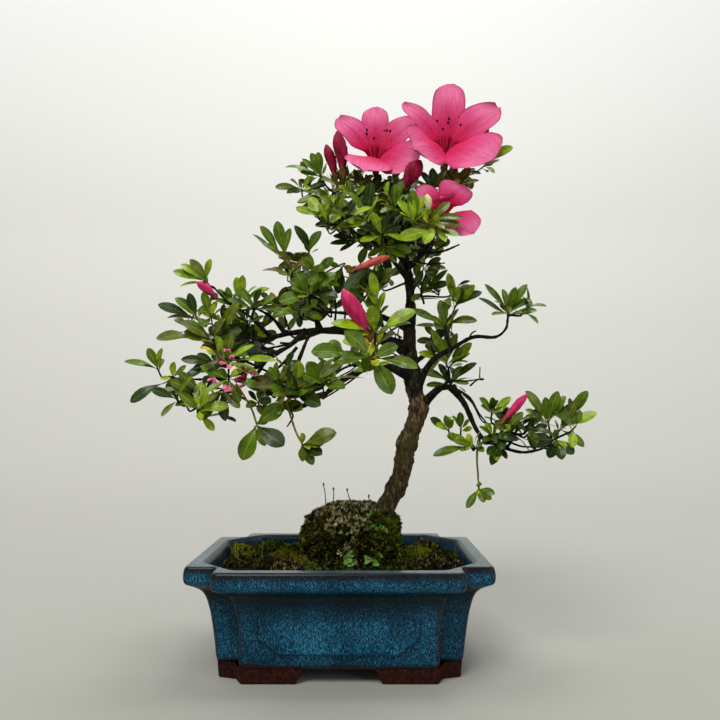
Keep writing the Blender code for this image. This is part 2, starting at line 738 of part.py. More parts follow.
def rosette(seed, tip, axis):
    """Places and lengths of the leaves round a shoot: long and spread below, short and upright above."""
    rng = random.Random(seed)
    side = axis.orthogonal().normalized()
    turn = rng.uniform(0, math.tau)
    leaves = []
    for k in range(LEAVES_PER_SHOOT):
        share = k / (LEAVES_PER_SHOOT - 1)
        out = Matrix.Rotation(turn + k * GOLDEN_ANGLE, 3, axis) @ side
        lean = math.radians(86 - 46 * share + rng.uniform(-9, 9))
        along = axis * math.cos(lean) + out * math.sin(lean)
        facing = axis * math.sin(lean) - out * math.cos(lean) + side * rng.uniform(-0.3, 0.3)
        length = LEAF_LENGTH * (1.08 - 0.3 * share) * rng.uniform(0.84, 1.14)
        place = tip - axis * (1 + SHOOT_LENGTH * (1 - share)) - along * LEAF_SINK
        leaves.append((facing_frame(place, along, facing), length))
    return leaves


def bud_solid(length):
    """A pointed bud along +X, from a sphere stretched to a spindle."""
    bm = bmesh.new()
    bmesh.ops.create_uvsphere(bm, u_segments=5, v_segments=4, radius=1)
    for vertex in bm.verts:
        x, y, z = vertex.co
        along = (z + 1) / 2
        girth = length * BUD_GIRTH * (0.55 + 0.75 * along)
        vertex.co = (length * along, x * girth, y * girth)
    mesh = bpy.data.meshes.new("bud")
    bm.to_mesh(mesh)
    bm.free()
    return mesh


def bloom_solid(size, turn):
    """A funnel flower along +X with five notched lobes, from a sphere of 15 by 2."""
    bm = bmesh.new()
    bmesh.ops.create_uvsphere(bm, u_segments=15, v_segments=2, radius=1)
    for vertex in bm.verts:
        x, y, z = vertex.co
        if abs(z) > 0.5:
            vertex.co = (size * THROAT_SHARE if z > 0 else 0, 0, 0)
            continue
        corner = round(math.atan2(y, x) / math.tau * 15) % 15
        centre, part = divmod(corner, 3)
        spread = (-LOBE_SPREAD, LOBE_SPREAD, 36)[part]
        reach, rise = (0.5, LOBE_RISE) if part < 2 else (NOTCH_REACH / 2, LOBE_RISE * 0.75)
        angle = math.radians(72 * centre + spread + turn)
        vertex.co = (size * rise, -size * reach * math.sin(angle), size * reach * math.cos(angle))
    bm.normal_update()
    bmesh.ops.recalc_face_normals(bm, faces=bm.faces)
    mesh = bpy.data.meshes.new("bloom")
    bm.to_mesh(mesh)
    bm.free()
    return mesh


def bloom_mesh(organ):
    facing = Vector(organ.facing).normalized()
    bloom = bloom_solid(organ.size, organ.turn)
    bloom.transform(facing_frame(Vector(organ.place) - facing * ORGAN_SINK, facing, UP))
    return bloom


def bud_mesh(organ):
    along = Vector(organ.facing).normalized()
    bud = bud_solid(organ.size)
    bud.transform(facing_frame(Vector(organ.place) - along * ORGAN_SINK, along, along.orthogonal()))
    return bud


def mass_wood(name, lines, obstacles, helpers):
    """The twigs and the blossom of one mass, and the ends that carry leaves."""
    shoots = [End(tip, axis, None) for tip, axis in shoot_tips(name)]
    for line in HANGING.values():
        if line.mass == name:
            tip = Vector(line.place)
            shoots.append(End(tip, Vector(line.facing).normalized(), None))
    for makes, organs in ((bloom_mesh, BLOOMS), (bud_mesh, BUDS)):
        for organ in organs.values():
            if organ.mass != name:
                continue
            made = makes(organ)
            if not blocked(made, obstacles):
                shoots.append(End(Vector(organ.place), Vector(organ.facing).normalized(), made))
    twigs, reached = branch(name, shoots, lines, obstacles, helpers)
    blossom = [end.organ for end in reached if end.organ]
    return twigs, blossom, [end for end in reached if not end.organ]


def mass_leaves(name, shoots, obstacles):
    """The leaves of one mass. One that leaves its space or touches anything is made smaller, or left out."""
    leaves, trees = [], []
    for k, end in enumerate(shoots):
        hangs = any(Vector(line.place) == end.place for line in HANGING.values())
        for matrix, length in rosette(f"{name} {k}", end.place, end.axis):
            for share in LEAF_SIZES:
                wide = leaf_solid(length * share, LEAF_CLEARANCE)
                wide.transform(matrix)
                points = [v.co for v in wide.vertices]
                near = hangs or inside_space(name, points) and inside_cell(name, points)
                leaf = leaf_solid(length * share)
                leaf.transform(matrix)
                if near and not blocked(wide, obstacles) and not blocked(leaf, trees):
                    leaves.append(leaf)
                    trees.append(search_tree([leaf]))
                    break
    return leaves


def join_mass(name, meshes, parts):
    """One closed solid from a mass's pieces, by one union on their collection."""
    kit = bpy.data.collections.new(name + "_kit")
    bpy.context.scene.collection.children.link(kit)
    stem = add_object(name + "_stem", meshes[0], parts)
    for mesh in meshes[1:]:
        add_object(name + "_piece", mesh, kit)
    join = stem.modifiers.new("Join", "BOOLEAN")
    join.operation = "UNION"
    join.operand_type = "COLLECTION"
    join.collection = kit
    join.solver = "MANIFOLD"
    graph = bpy.context.evaluated_depsgraph_get()
    mesh = bpy.data.meshes.new_from_object(stem.evaluated_get(graph))
    for obj in [stem, *kit.objects]:
        bpy.data.objects.remove(obj)
    bpy.data.collections.remove(kit)
    main_body(mesh)
    mesh.name = name
    add_object(name, mesh, parts, "foliage")


def main_body(mesh):
    """Keeps the largest shell of a joined mesh. Loose scraps and sealed hollows go."""
    bm = bmesh.new()
    bm.from_mesh(mesh)
    bmesh.ops.triangulate(bm, faces=bm.faces)
    left, shells = set(bm.faces), []
    while left:
        shell, front = set(), [left.pop()]
        while front:
            face = front.pop()
            shell.add(face)
            for edge in face.edges:
                for other in edge.link_faces:
                    if other in left:
                        left.remove(other)
                        front.append(other)
        shells.append(shell)
    keep = max(shells, key=len)
    bmesh.ops.delete(bm, geom=[f for f in bm.faces if f not in keep], context="FACES")
    bm.to_mesh(mesh)
    bm.free()


def wide_limbs(lines, helpers):
    """A search tree of all the limbs, a little wider than they are."""
    meshes = []
    for line, radii in lines.values():
        wide = tube("wide", line, [r + TWIG_CLEARANCE for r in radii], helpers)
        meshes.append(wide.data)
        bpy.data.objects.remove(wide)
    return search_tree(meshes)


def make_twig_profile(helpers):
    """The three-sided section of all the twigs."""
    curve = bpy.data.curves.new("twig_profile", "CURVE")
    section = curve.splines.new("POLY")
    section.use_cyclic_u = True
    section.points.add(2)
    for k, point in enumerate(section.points):
        angle = -math.tau * k / 3
        point.co = (math.cos(angle), math.sin(angle), 0, 1)
    as_cutter(add_object("twig_profile", curve, helpers))


def make_masses(lines, parts, helpers):
    """All masses of leaves: first the twigs and blossom of each, then leaves in the room that is left."""
    make_twig_profile(helpers)
    limbs = wide_limbs(lines, helpers)
    woods, trees = {}, {}
    for name in MASSES:
        woods[name] = mass_wood(name, lines, [limbs, *trees.values()], helpers)
        trees[name] = search_tree(woods[name][0] + woods[name][1])
    foliage = []
    for name, (twigs, blossom, shoots) in woods.items():
        others = [tree for other, tree in trees.items() if other != name]
        leaves = mass_leaves(name, shoots, [limbs, *others, *foliage])
        foliage.append(search_tree(leaves))
        join_mass(name, twigs + blossom + leaves, parts)


def set_origin(parts, cutters):
    """Turns millimetres into metres, with the origin on the ground under the middle of the plant."""
    bpy.context.view_layer.update()
    graph = bpy.context.evaluated_depsgraph_get()
    low, high = Vector((1e9,) * 3), Vector((-1e9,) * 3)
    for obj in parts.objects:
        for corner in obj.evaluated_get(graph).bound_box:
            low = Vector(map(min, low, corner))
            high = Vector(map(max, high, corner))
    middle = Vector(((low.x + high.x) / 2, (low.y + high.y) / 2, 0))
    change = Matrix.Scale(MM, 4) @ Matrix.Translation(-middle)
    for obj in [*parts.objects, *cutters.objects]:
        if obj.type == "MESH":
            obj.data.transform(change)
            obj.data.update()


def main():
    for obj in list(bpy.data.objects):
        bpy.data.objects.remove(obj)
    parts = bpy.data.collections.new("Azalea bonsai")
    cutters = bpy.data.collections.new("Cutters")
    for collection in (parts, cutters):
        bpy.context.scene.collection.children.link(collection)
    lines = limb_lines()
    make_pot(parts, cutters)
    make_soil(parts)
    clearances = make_limbs(lines, parts, cutters)
    make_mound(parts, clearances["trunk"])
    make_masses(lines, parts, cutters)
    set_origin(parts, cutters)


main()
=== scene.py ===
"""Looks of the azalea bonsai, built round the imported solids.

The pot, soil, bark, leaves and blossom are made in millimetres in the pot's own frame, as the part's
source does it: x to the right, y to the back, z up from the ground. Each finished piece is turned
into the row frame in metres. The camera stands where the photograph was taken from, so a place seen
in the photograph is named by its pixel and its depth y.
"""

import json
import math
import random
from collections import namedtuple

import bmesh
import bpy
from mathutils import Matrix, Vector, noise

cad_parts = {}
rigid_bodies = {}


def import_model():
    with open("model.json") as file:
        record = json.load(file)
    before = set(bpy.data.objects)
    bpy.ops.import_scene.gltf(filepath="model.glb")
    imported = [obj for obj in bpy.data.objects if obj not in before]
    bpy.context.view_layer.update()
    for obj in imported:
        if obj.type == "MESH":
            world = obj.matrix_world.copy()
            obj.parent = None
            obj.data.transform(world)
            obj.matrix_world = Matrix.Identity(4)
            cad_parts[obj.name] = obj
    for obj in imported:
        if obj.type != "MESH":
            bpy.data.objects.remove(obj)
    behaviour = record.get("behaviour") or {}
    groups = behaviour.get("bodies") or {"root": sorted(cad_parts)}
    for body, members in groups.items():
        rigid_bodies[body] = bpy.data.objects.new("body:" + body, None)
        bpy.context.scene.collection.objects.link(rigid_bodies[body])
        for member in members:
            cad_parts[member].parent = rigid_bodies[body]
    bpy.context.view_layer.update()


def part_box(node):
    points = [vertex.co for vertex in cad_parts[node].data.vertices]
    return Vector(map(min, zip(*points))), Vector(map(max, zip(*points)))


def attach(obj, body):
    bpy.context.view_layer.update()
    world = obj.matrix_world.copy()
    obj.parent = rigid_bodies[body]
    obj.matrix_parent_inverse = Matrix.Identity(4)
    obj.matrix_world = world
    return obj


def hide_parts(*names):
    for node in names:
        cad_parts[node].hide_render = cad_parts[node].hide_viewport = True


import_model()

MM = 0.001
GOLDEN_ANGLE = math.pi * (3 - math.sqrt(5))
UP = Vector((0, 0, 1))
TO_VIEWER = Vector((0, -1, 0))

# Camera, in the pot's frame, for a square photograph 720 pixels a side
CAMERA_PLACE = Vector((13.5, -494, 170.2))
CAMERA_PITCH = 0.092
FOCAL_PIXELS = 655
PHOTO_SIDE = 720

pot_low, pot_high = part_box("pot")
POT_MIDDLE = Vector(((pot_low.x + pot_high.x) / 2, (pot_low.y + pot_high.y) / 2, 0))
TO_ROW = Matrix.Translation(POT_MIDDLE) @ Matrix.Scale(MM, 4)

Limb = namedtuple("Limb", "parent base tip line")
Mass = namedtuple("Mass", "limb centre half shoots")


def seen(pixel, depth):
    """The place in the pot's frame that the photograph shows at a pixel, at a depth y."""
    u, v = pixel
    side = (u - PHOTO_SIDE / 2) / FOCAL_PIXELS
    rise = (PHOTO_SIDE / 2 - v) / FOCAL_PIXELS
    cos, sin = math.cos(CAMERA_PITCH), math.sin(CAMERA_PITCH)
    way = Vector((side, cos - rise * sin, sin + rise * cos))
    return CAMERA_PLACE + way * (depth - CAMERA_PLACE.y) / way.y


def pixel_of(place):
    """The pixel at which the photograph shows a place of the pot's frame."""
    way = place - CAMERA_PLACE
    cos, sin = math.cos(CAMERA_PITCH), math.sin(CAMERA_PITCH)
    depth = way.y * cos + way.z * sin
    rise = way.z * cos - way.y * sin
    return PHOTO_SIDE / 2 + FOCAL_PIXELS * way.x / depth, PHOTO_SIDE / 2 - FOCAL_PIXELS * rise / depth


def clamp(value, low=0, high=1):
    """The value, kept from low to high."""
    return min(high, max(low, value))


def turned(side, axis, angle):
    """A direction turned round an axis."""
    return Matrix.Rotation(angle, 3, axis) @ side


def on_sphere(angle, height):
    """The direction at an angle round the vertical and at a height from -1 to 1."""
    flat = math.sqrt(1 - height**2)
    return Vector((flat * math.cos(angle), flat * math.sin(angle), height))


def lumps(place, *layers):
    """Noise at a place, as the sum of layers that each say how fine and how strong they are."""
    return sum(noise.noise(place * fine) * strong for fine, strong in layers)


def smooth_line(points, per_span):
    """Points along a Catmull-Rom curve through the given points."""
    p = [Vector(q) for q in points]
    p = [2 * p[0] - p[1], *p, 2 * p[-1] - p[-2]]
    line = []
    for a, b, c, d in zip(p, p[1:], p[2:], p[3:]):
        for k in range(per_span):
            t = k / per_span
            square = (2 * a - 5 * b + 4 * c - d) * t**2
            cube = (3 * b - a - 3 * c + d) * t**3
            line.append(0.5 * (2 * b + (c - a) * t + square + cube))
    line.append(p[-2])
    return line


def nearest_on_line(place, line):
    """The point of a line that lies nearest to a place."""
    best = line[0]
    for a, b in zip(line, line[1:]):
        point = a.lerp(b, clamp((place - a).dot(b - a) / (b - a).length_squared))
        if (point - place).length < (best - place).length:
            best = point
    return best


def lengths(line):
    """How far along the line each of its points lies."""
    run = [0.0]
    for a, b in zip(line, line[1:]):
        run.append(run[-1] + (b - a).length)
    return run


def taper(line, base, tip):
    """A radius for each point of the line, falling evenly along its length."""
    run = lengths(line)
    return [base + (tip - base) * s / run[-1] for s in run]


def heading(line, k):
    """The direction of a line at one of its points."""
    return (line[min(k + 1, len(line) - 1)] - line[max(k - 1, 0)]).normalized()


def bridge(bm, rows, slot=0, closed=True):
    """Faces between rows of one point count. A closed row's last point joins its first."""
    faces = []
    for low, high in zip(rows, rows[1:]):
        for k in range(len(low) if closed else len(low) - 1):
            n = (k + 1) % len(low)
            face = bm.faces.new((low[k], low[n], high[n], high[k]))
            face.material_index = slot
            faces.append(face)
    return faces


def sweep(bm, line, radii, sides, slot=0, relief=None, close=True):
    """A tube along the line, in a material slot. relief(place, out) adds to its radius."""
    across = (line[1] - line[0]).orthogonal().normalized()
    rings = []
    for k, (place, radius) in enumerate(zip(line, radii)):
        ahead = heading(line, k)
        across = (across - ahead * across.dot(ahead)).normalized()
        other = ahead.cross(across)
        ring = []
        for s in range(sides):
            angle = math.tau * s / sides
            out = across * math.cos(angle) + other * math.sin(angle)
            reach = radius + (relief(place, out) if relief else 0)
            ring.append(bm.verts.new(place + out * reach))
        rings.append(ring)
    bridge(bm, rings, slot)
    if close:
        bm.faces.new(rings[0][::-1]).material_index = slot
        bm.faces.new(rings[-1]).material_index = slot


def stick(bm, points, spans, radii, sides, slot=0, relief=None):
    """A tube through some points that tapers from one radius to another. Returns its line."""
    line = smooth_line(points, spans)
    sweep(bm, line, taper(line, *radii), sides, slot, relief)
    return line


def add_scale(bm, root, middle, width, tip, slot):
    """A flat pointed blade with four corners."""
    corners = [bm.verts.new(place) for place in (root, middle + width, tip, middle - width)]
    bm.faces.new(corners).material_index = slot


def new_vertex(bm, place, layers, values):
    """A vertex that holds one value in each layer."""
    vertex = bm.verts.new(place)
    for layer, value in zip(layers, values):
        vertex[layer] = value
    return vertex


def put_in_scene(name, data):
    """A new object of the scene."""
    thing = bpy.data.objects.new(name, data)
    bpy.context.scene.collection.objects.link(thing)
    return thing


def mesh_object(name, bm, materials, smooth=True):
    """A finished mesh with its materials, as an object of the scene."""
    mesh = bpy.data.meshes.new(name)
    bm.to_mesh(mesh)
    bm.free()
    for material in materials:
        mesh.materials.append(material)
    mesh.polygons.foreach_set("use_smooth", [smooth] * len(mesh.polygons))
    return put_in_scene(name, mesh)


def add_piece(name, bm, materials, replaces=(), smooth=True):
    """Finishes a mesh as a piece of the plant that rides on the row's one body."""
    bmesh.ops.transform(bm, matrix=TO_ROW, verts=bm.verts)
    piece = mesh_object(name, bm, materials, smooth)
    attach(piece, "root")
    if replaces:
        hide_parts(*replaces)
    return piece


class Paint:
    """A material whose colour and relief come from a few nodes on one Principled shader."""

    def __init__(self, name, colour, rough, shine, **settings):
        """A plain surface of a linear colour, with its roughness and the strength of its shine."""
        self.material = bpy.data.materials.new(name)
        self.material.use_nodes = True
        self.material.diffuse_color = (*colour, 1)
        self.nodes = self.material.node_tree.nodes
        self.links = self.material.node_tree.links
        self.shader = self.nodes["Principled BSDF"]
        self.fill(self.shader, Base_Color=colour, Roughness=rough, Specular_IOR_Level=shine, **settings)

    def put(self, node, socket, value):
        """Sets a socket to a number, a colour or another node's output."""
        target = node.inputs[socket]
        if isinstance(value, bpy.types.NodeSocket):
            self.links.new(value, target)
        elif isinstance(value, tuple) and target.type == "RGBA":
            target.default_value = (*value, 1)
        else:
            target.default_value = value

    def fill(self, node, **sockets):
        """Sets sockets by their names, written with _ for each space."""
        for socket, value in sockets.items():
            self.put(node, socket.replace("_", " "), value)
        return node

    def add(self, kind, **sockets):
        return self.fill(self.nodes.new(kind), **sockets)

    def mapped(self, where, scale):
        """Coordinates stretched along the axes."""
        return self.add("ShaderNodeMapping", Vector=where, Scale=scale).outputs["Vector"]

    def place(self, stretch=(1, 1, 1)):
        """Object coordinates in millimetres, stretched along the axes."""
        where = self.nodes.new("ShaderNodeTexCoord").outputs["Object"]
        return self.mapped(where, [s / MM for s in stretch])

    def noise(self, size, detail=3, stretch=(1, 1, 1), roughness=0.55):
        """Soft noise from 0 to 1 with features of a size in millimetres."""
        texture = self.add("ShaderNodeTexNoise", Vector=self.place(stretch), Scale=1 / size)
        return self.fill(texture, Detail=detail, Roughness=roughness).outputs["Fac"]

    def cells(self, size, stretch=(1, 1, 1)):
        """The distance to the nearest of many scattered points, a size apart."""
        texture = self.add("ShaderNodeTexVoronoi", Vector=self.place(stretch), Scale=1 / size)
        return texture.outputs["Distance"]

    def height(self):
        """The height above the ground in millimetres."""
        return self.add("ShaderNodeSeparateXYZ", Vector=self.place()).outputs["Z"]

    def attribute(self, name, output="Fac"):
        """What the mesh's vertices hold under a name."""
        node = self.nodes.new("ShaderNodeAttribute")
        node.attribute_name = name
        return node.outputs[output]

    def ramp(self, value, *stops):
        """Colours or numbers along a value: each stop is its place and its colour."""
        node = self.add("ShaderNodeValToRGB", Fac=value)
        elements = node.color_ramp.elements
        elements[0].position = stops[0][0]
        elements[-1].position = stops[-1][0]
        for place, _ in stops[1:-1]:
            elements.new(place)
        for element, (_, colour) in zip(elements, stops):
            element.color = (*colour, 1) if isinstance(colour, tuple) else (colour, colour, colour, 1)
        return node.outputs["Color"]

    def mix(self, share, first, second):
        node = self.nodes.new("ShaderNodeMix")
        node.data_type = "RGBA"
        for socket, value in ((0, share), (6, first), (7, second)):
            self.put(node, socket, value)
        return node.outputs[2]

    def maths(self, operation, first, second):
        node = self.nodes.new("ShaderNodeMath")
        node.operation = operation
        self.put(node, 0, first)
        self.put(node, 1, second)
        return node.outputs[0]

    def swing(self, value, size):
        """A value from 0 to 1, moved to swing round zero, a size from end to end."""
        return self.maths("MULTIPLY", self.maths("SUBTRACT", value, 0.5), size)

    def span(self, value, low, high):
        """The value's place between low and high, kept from 0 to 1."""
        return self.add("ShaderNodeMapRange", Value=value, From_Min=low, From_Max=high).outputs["Result"]

    def colour(self, value):
        self.put(self.shader, "Base Color", value)

    def bump(self, value, depth, strength=1.0):
        """Relief from a value, depth millimetres deep, on top of the relief before it."""
        node = self.add("ShaderNodeBump", Height=value, Distance=depth * MM, Strength=strength)
        normal = self.shader.inputs["Normal"]
        if normal.is_linked:
            self.links.new(normal.links[0].from_socket, node.inputs["Normal"])
        self.links.new(node.outputs["Normal"], normal)


def srgb(red, green, blue):
    """A colour as a picture shows it, from 0 to 255, as the linear values that shaders use."""
    shown = [c / 255 for c in (red, green, blue)]
    return tuple(((c + 0.055) / 1.055) ** 2.4 if c > 10 / 255 else c / 12.92 for c in shown)


def scaled(colour, factor):
    """A colour made darker or lighter."""
    return tuple(min(1, c * factor) for c in colour)


# Pot, as in the part's source, in millimetres
POT_LENGTH = 205
POT_DEPTH = 150
NOTCH_X = 22
NOTCH_Y = 18
NOTCH_SHRINK = 0.25
CORNER_RADIUS = 4
CORNER_STEPS = 7
CORNER_BROWN = 0.8
LIP_FOOT = 74
LIP_ANGLE = 50
INNER_CUT = 24
POST_EXTRA = 2.5
POST_TOP = 62
POST_FADE = 5
POST_RISE = 20

# The pot's profile, finer than in the source: inset, height, and shares of brown edge, pale rim and flecks
POT_PROFILE = [
    (21.2, 10, 1, 0, 0.3), (20.4, 11, 0.8, 0, 0.3), (19.8, 12.4, 0.2, 0, 0.6), (19.5, 14, 0, 0, 0.8),
    (18.9, 19, 0, 0, 0.9), (17.5, 30, 0, 0, 1), (16.3, 38, 0, 0, 0.95), (15.5, 43, 0, 0, 0.75),
    (13.9, 49.5, 0, 0, 0.4), (12.6, 53.5, 0, 0, 0.12), (10.9, 56.6, 0, 0, 0.05), (8.7, 59, 0, 0, 0.05),
    (6, 60.9, 0, 0, 0.15), (3.6, 62.2, 0, 0, 0.5), (1.5, 63.3, 0, 0, 0.85), (0.4, 64.8, 0, 0, 1),
    (0, 67, 0, 0, 1), (0, 70, 0.25, 0, 0.9), (0.3, 72.2, 0.75, 0, 0.6), (0.8, 73.8, 0.95, 0, 0.5),
    (1.4, 74.6, 1, 0, 0.5), (2.1, 74.95, 0.6, 0.7, 0.5), (3, 75, 0, 1, 0.5), (8.6, 75, 0, 1, 0.5),
    (9.6, 74.9, 0.6, 0.8, 0.5), (10.6, 74.4, 1, 0.2, 0.5), (11.6, 73, 0.4, 0, 0.5), (12.5, 71, 0, 0, 0.35),
    (22, 44, 0, 0, 0.2),
]

# Number of the first profile row whose plan has plain chamfers, as the pot's inside has
RIM_INNER = 23

# Panel on each long side: outline as x and z, and rings as stand-out share, size, dark edge, flecks. The
# dark edge at the panel's foot is painted shade under the raised panel, partly brown glaze
PANEL_OUTLINE = [(-39, 20.3), (39, 20.3), (52, 30.5), (52, 44), (-52, 44), (-52, 30.5)]
PANEL_PROUD = 2.6
PANEL_RINGS = [
    (-1.5, 1.07, 0, 0.2), (-0.05, 1.05, 1, 0), (0.85, 1.0, 0.1, 0.4), (1.0, 0.96, 0, 1), (0.7, 0.88, 0, 1),
]
PANEL_MIDDLE = 14
PANEL_FADE = 1.15
PANEL_SINK = 0.2

# Feet: rings as height, how far each stands out of FOOT_INSET, and share of the slant
FOOT_INSET = 24
FOOT_TOP = 10
FOOT_WIDTH = 12
FOOT_GAP_X = 45
FOOT_GAP_Y = 38
FOOT_SLANT = 6
FOOT_CUT = 0.55
FOOT_RINGS = [(0, 1.4, 1), (0.8, 2.2, 1), (FOOT_TOP + 1, 3, 0)]
FOOT_BEVEL = 0.5

# Soil and moss mound
SOIL_TOP = 66
SOIL_RISE = 3
SOIL_EDGE = 14.2
SOIL_TURNS = 144
SOIL_ROWS = 14
MOUND_CENTRE = (7, 2)
MOUND_HALF = (38, 38)
MOUND_TOP = 109
MOUND_STEEP = 0.7
MOUND_ROUND = 0.62
MOUND_TURNS = 120
MOUND_ROWS = 44
MOUND_SINK = 2.5

# Moss: tints as name, dark and light colour, and their numbers. The near-black tint paints the shade in the
# gaps between strands
MOSS_TINTS = [
    ("moss_shaded", (14, 15, 6), (34, 36, 12)), ("moss_olive", (54, 58, 12), (106, 106, 28)),
    ("moss_green", (72, 96, 14), (132, 154, 34)), ("moss_tan", (108, 88, 46), (170, 144, 88)),
    ("moss_gold", (116, 110, 18), (176, 164, 40)), ("moss_cream", (192, 180, 132), (238, 228, 190)),
]
MOSS_SHADE, OLIVE, GREEN, TAN, GOLD, CREAM = range(6)
MOSS_COUNT = 15000
SPRIG_LENGTHS = (1.2, 3.4)
PATCH_LENGTHS = (1.2, 3.6)
PATCH_STRETCH = 1.2
PATCH_RISE = 5
MOSS_EDGE_X = 86
MOSS_EDGE_Y = 58
MOSS_EDGE_BOTH = 130

# Moss on the soil: pixel of the patch, its reach in millimetres, its sprigs and their tints' numbers; tint
# 0 is the near-black that paints shade
GROUND_MOSS = [
    ((234, 553), 12, 700, (4, 4, 2)), ((246, 556), 10, 500, (2, 4, 0)), ((262, 541), 15, 800, (2, 2, 1)),
    ((272, 548), 14, 600, (1, 0, 2)), ((284, 560), 12, 500, (1, 1, 4)), ((296, 553), 14, 700, (1, 2, 0)),
    ((305, 565), 10, 400, (1, 4, 2)), ((330, 567), 12, 500, (2, 1, 0)), ((360, 568), 14, 500, (2, 1, 1)),
    ((395, 566), 13, 500, (1, 2, 0)), ((414, 556), 14, 800, (4, 2, 1)), ((426, 549), 10, 400, (1, 4, 0)),
    ((444, 560), 12, 300, (0, 1)), ((240, 540), 14, 300, (0, 1)), ((450, 545), 14, 300, (0, 0, 1)),
    ((380, 535), 24, 500, (0, 1)), ((300, 537), 18, 500, (0, 1, 2)), ((238, 566), 11, 300, (0, 0, 1)),
    ((268, 567), 12, 350, (0, 0, 1)), ((286, 570), 12, 350, (0, 0, 3)), ((318, 571), 11, 350, (0, 1, 2)),
    ((345, 572), 12, 350, (0, 1)), ((378, 571), 12, 350, (0, 0, 1)), ((408, 570), 11, 350, (0, 1)),
    ((432, 566), 11, 300, (0, 0, 0, 3)), ((450, 568), 10, 200, (0, 0, 3)), ((226, 545), 9, 200, (0, 0, 3)),
]

# Liverwort: pixel and size of each lobe. The mound's front is searched for the place of each
LIVERWORT = [
    ((346, 561), 3.6), ((352, 556), 3.2), ((350, 563), 3), ((367, 559), 3.6), ((374, 563), 3),
    ((377, 557), 3), ((371, 527), 2.4), ((375, 531), 2.2), ((381, 529), 2.6), ((384, 533), 2),
    ((368, 517), 2.4), ((371, 515), 2), ((364, 512), 2), ((342, 534), 1.8), ((314, 556), 2.2),
    ((369, 508), 1.8),
]
LOBE_POINTS = 15
LOBE_LIFT = 2.2
FRONT_FROM = 200
FRONT_SPAN = 140
FRONT_TURNS = 40
FRONT_ROWS = 35

# Spore stalks: pixels of foot and top. Grass: pixel column of each blade's foot and its depth y
STALKS = [
    ((326, 502.4), (323.6, 485.4)), ((332, 503), (333.5, 490)), ((351.4, 505), (347.2, 490.8)),
    ((367, 506.5), (368.8, 497)),
]
STALK_DEPTH = -4
STALK_ROOT = 5
STALK_RADII = (0.42, 0.34)
CAP_STEPS = (-0.4, 0, 1.1, 2.2)
CAP_RADII = (0.2, 0.62, 0.75, 0.15)
GRASS = [(236, -6), (239, -8), (262, 10), (420, 6)]
GRASS_PIXEL_ROW = 560
GRASS_HEIGHTS = (10, 16)
GRASS_LEAN = 3
GRASS_RADII = (0.5, 0.12)


def plan_sizes(inset, narrow=0.0):
    """Half the pot's length and depth and its corners' recess both ways, all moved inwards by inset."""
    shrink = NOTCH_SHRINK * inset
    half_length, half_depth = POT_LENGTH / 2 - inset, POT_DEPTH / 2 - inset
    return half_length, half_depth, NOTCH_X - shrink + narrow, NOTCH_Y - shrink + narrow * 0.5


def pot_corners(inset, cut=0.0, narrow=0.0):
    """The twelve corners of the pot's plan at an inset. As cut runs to 1 they turn into four chamfers."""
    a, b, nx, ny = plan_sizes(inset, narrow)
    nx, ny = nx + (INNER_CUT - nx) * cut, ny + (INNER_CUT - ny) * cut
    quarter = [(a, b - ny), (a - nx * (1 - cut / 2), b - ny * (1 - cut / 2)), (a - nx, b)]
    corners = []
    for sx, sy in ((1, 1), (-1, 1), (-1, -1), (1, -1)):
        run = [(sx * x, sy * y) for x, y in quarter]
        corners += run if sx * sy > 0 else run[::-1]
    return [Vector(c) for c in corners]


def pot_plan(inset, z, inner):
    """The plan at a height, its corners rounded: points, and how near each lies to a corner's middle."""
    narrow = POST_EXTRA * clamp((POST_TOP - z) / POST_FADE) * clamp((z - FOOT_TOP) / POST_RISE)
    corners = pot_corners(inset, 1) if inner else pot_corners(inset, 0, narrow)
    outline = []
    for k, here in enumerate(corners):
        before = (corners[k - 1] - here).normalized() * CORNER_RADIUS
        after = (corners[(k + 1) % len(corners)] - here).normalized() * CORNER_RADIUS
        for step in range(CORNER_STEPS):
            t = step / (CORNER_STEPS - 1)
            outline.append((here + before * (1 - t) ** 2 + after * t**2, 1 - abs(2 * t - 1)))
    return outline


def wall_inset(z):
    """How far the pot's outer wall lies inside the rim at a height."""
    for (d0, z0, *_), (d1, z1, *_) in zip(POT_PROFILE, POT_PROFILE[1:]):
        if z0 <= z <= z1:
            return d0 + (d1 - d0) * (z - z0) / (z1 - z0)
    return POT_PROFILE[-1][0]


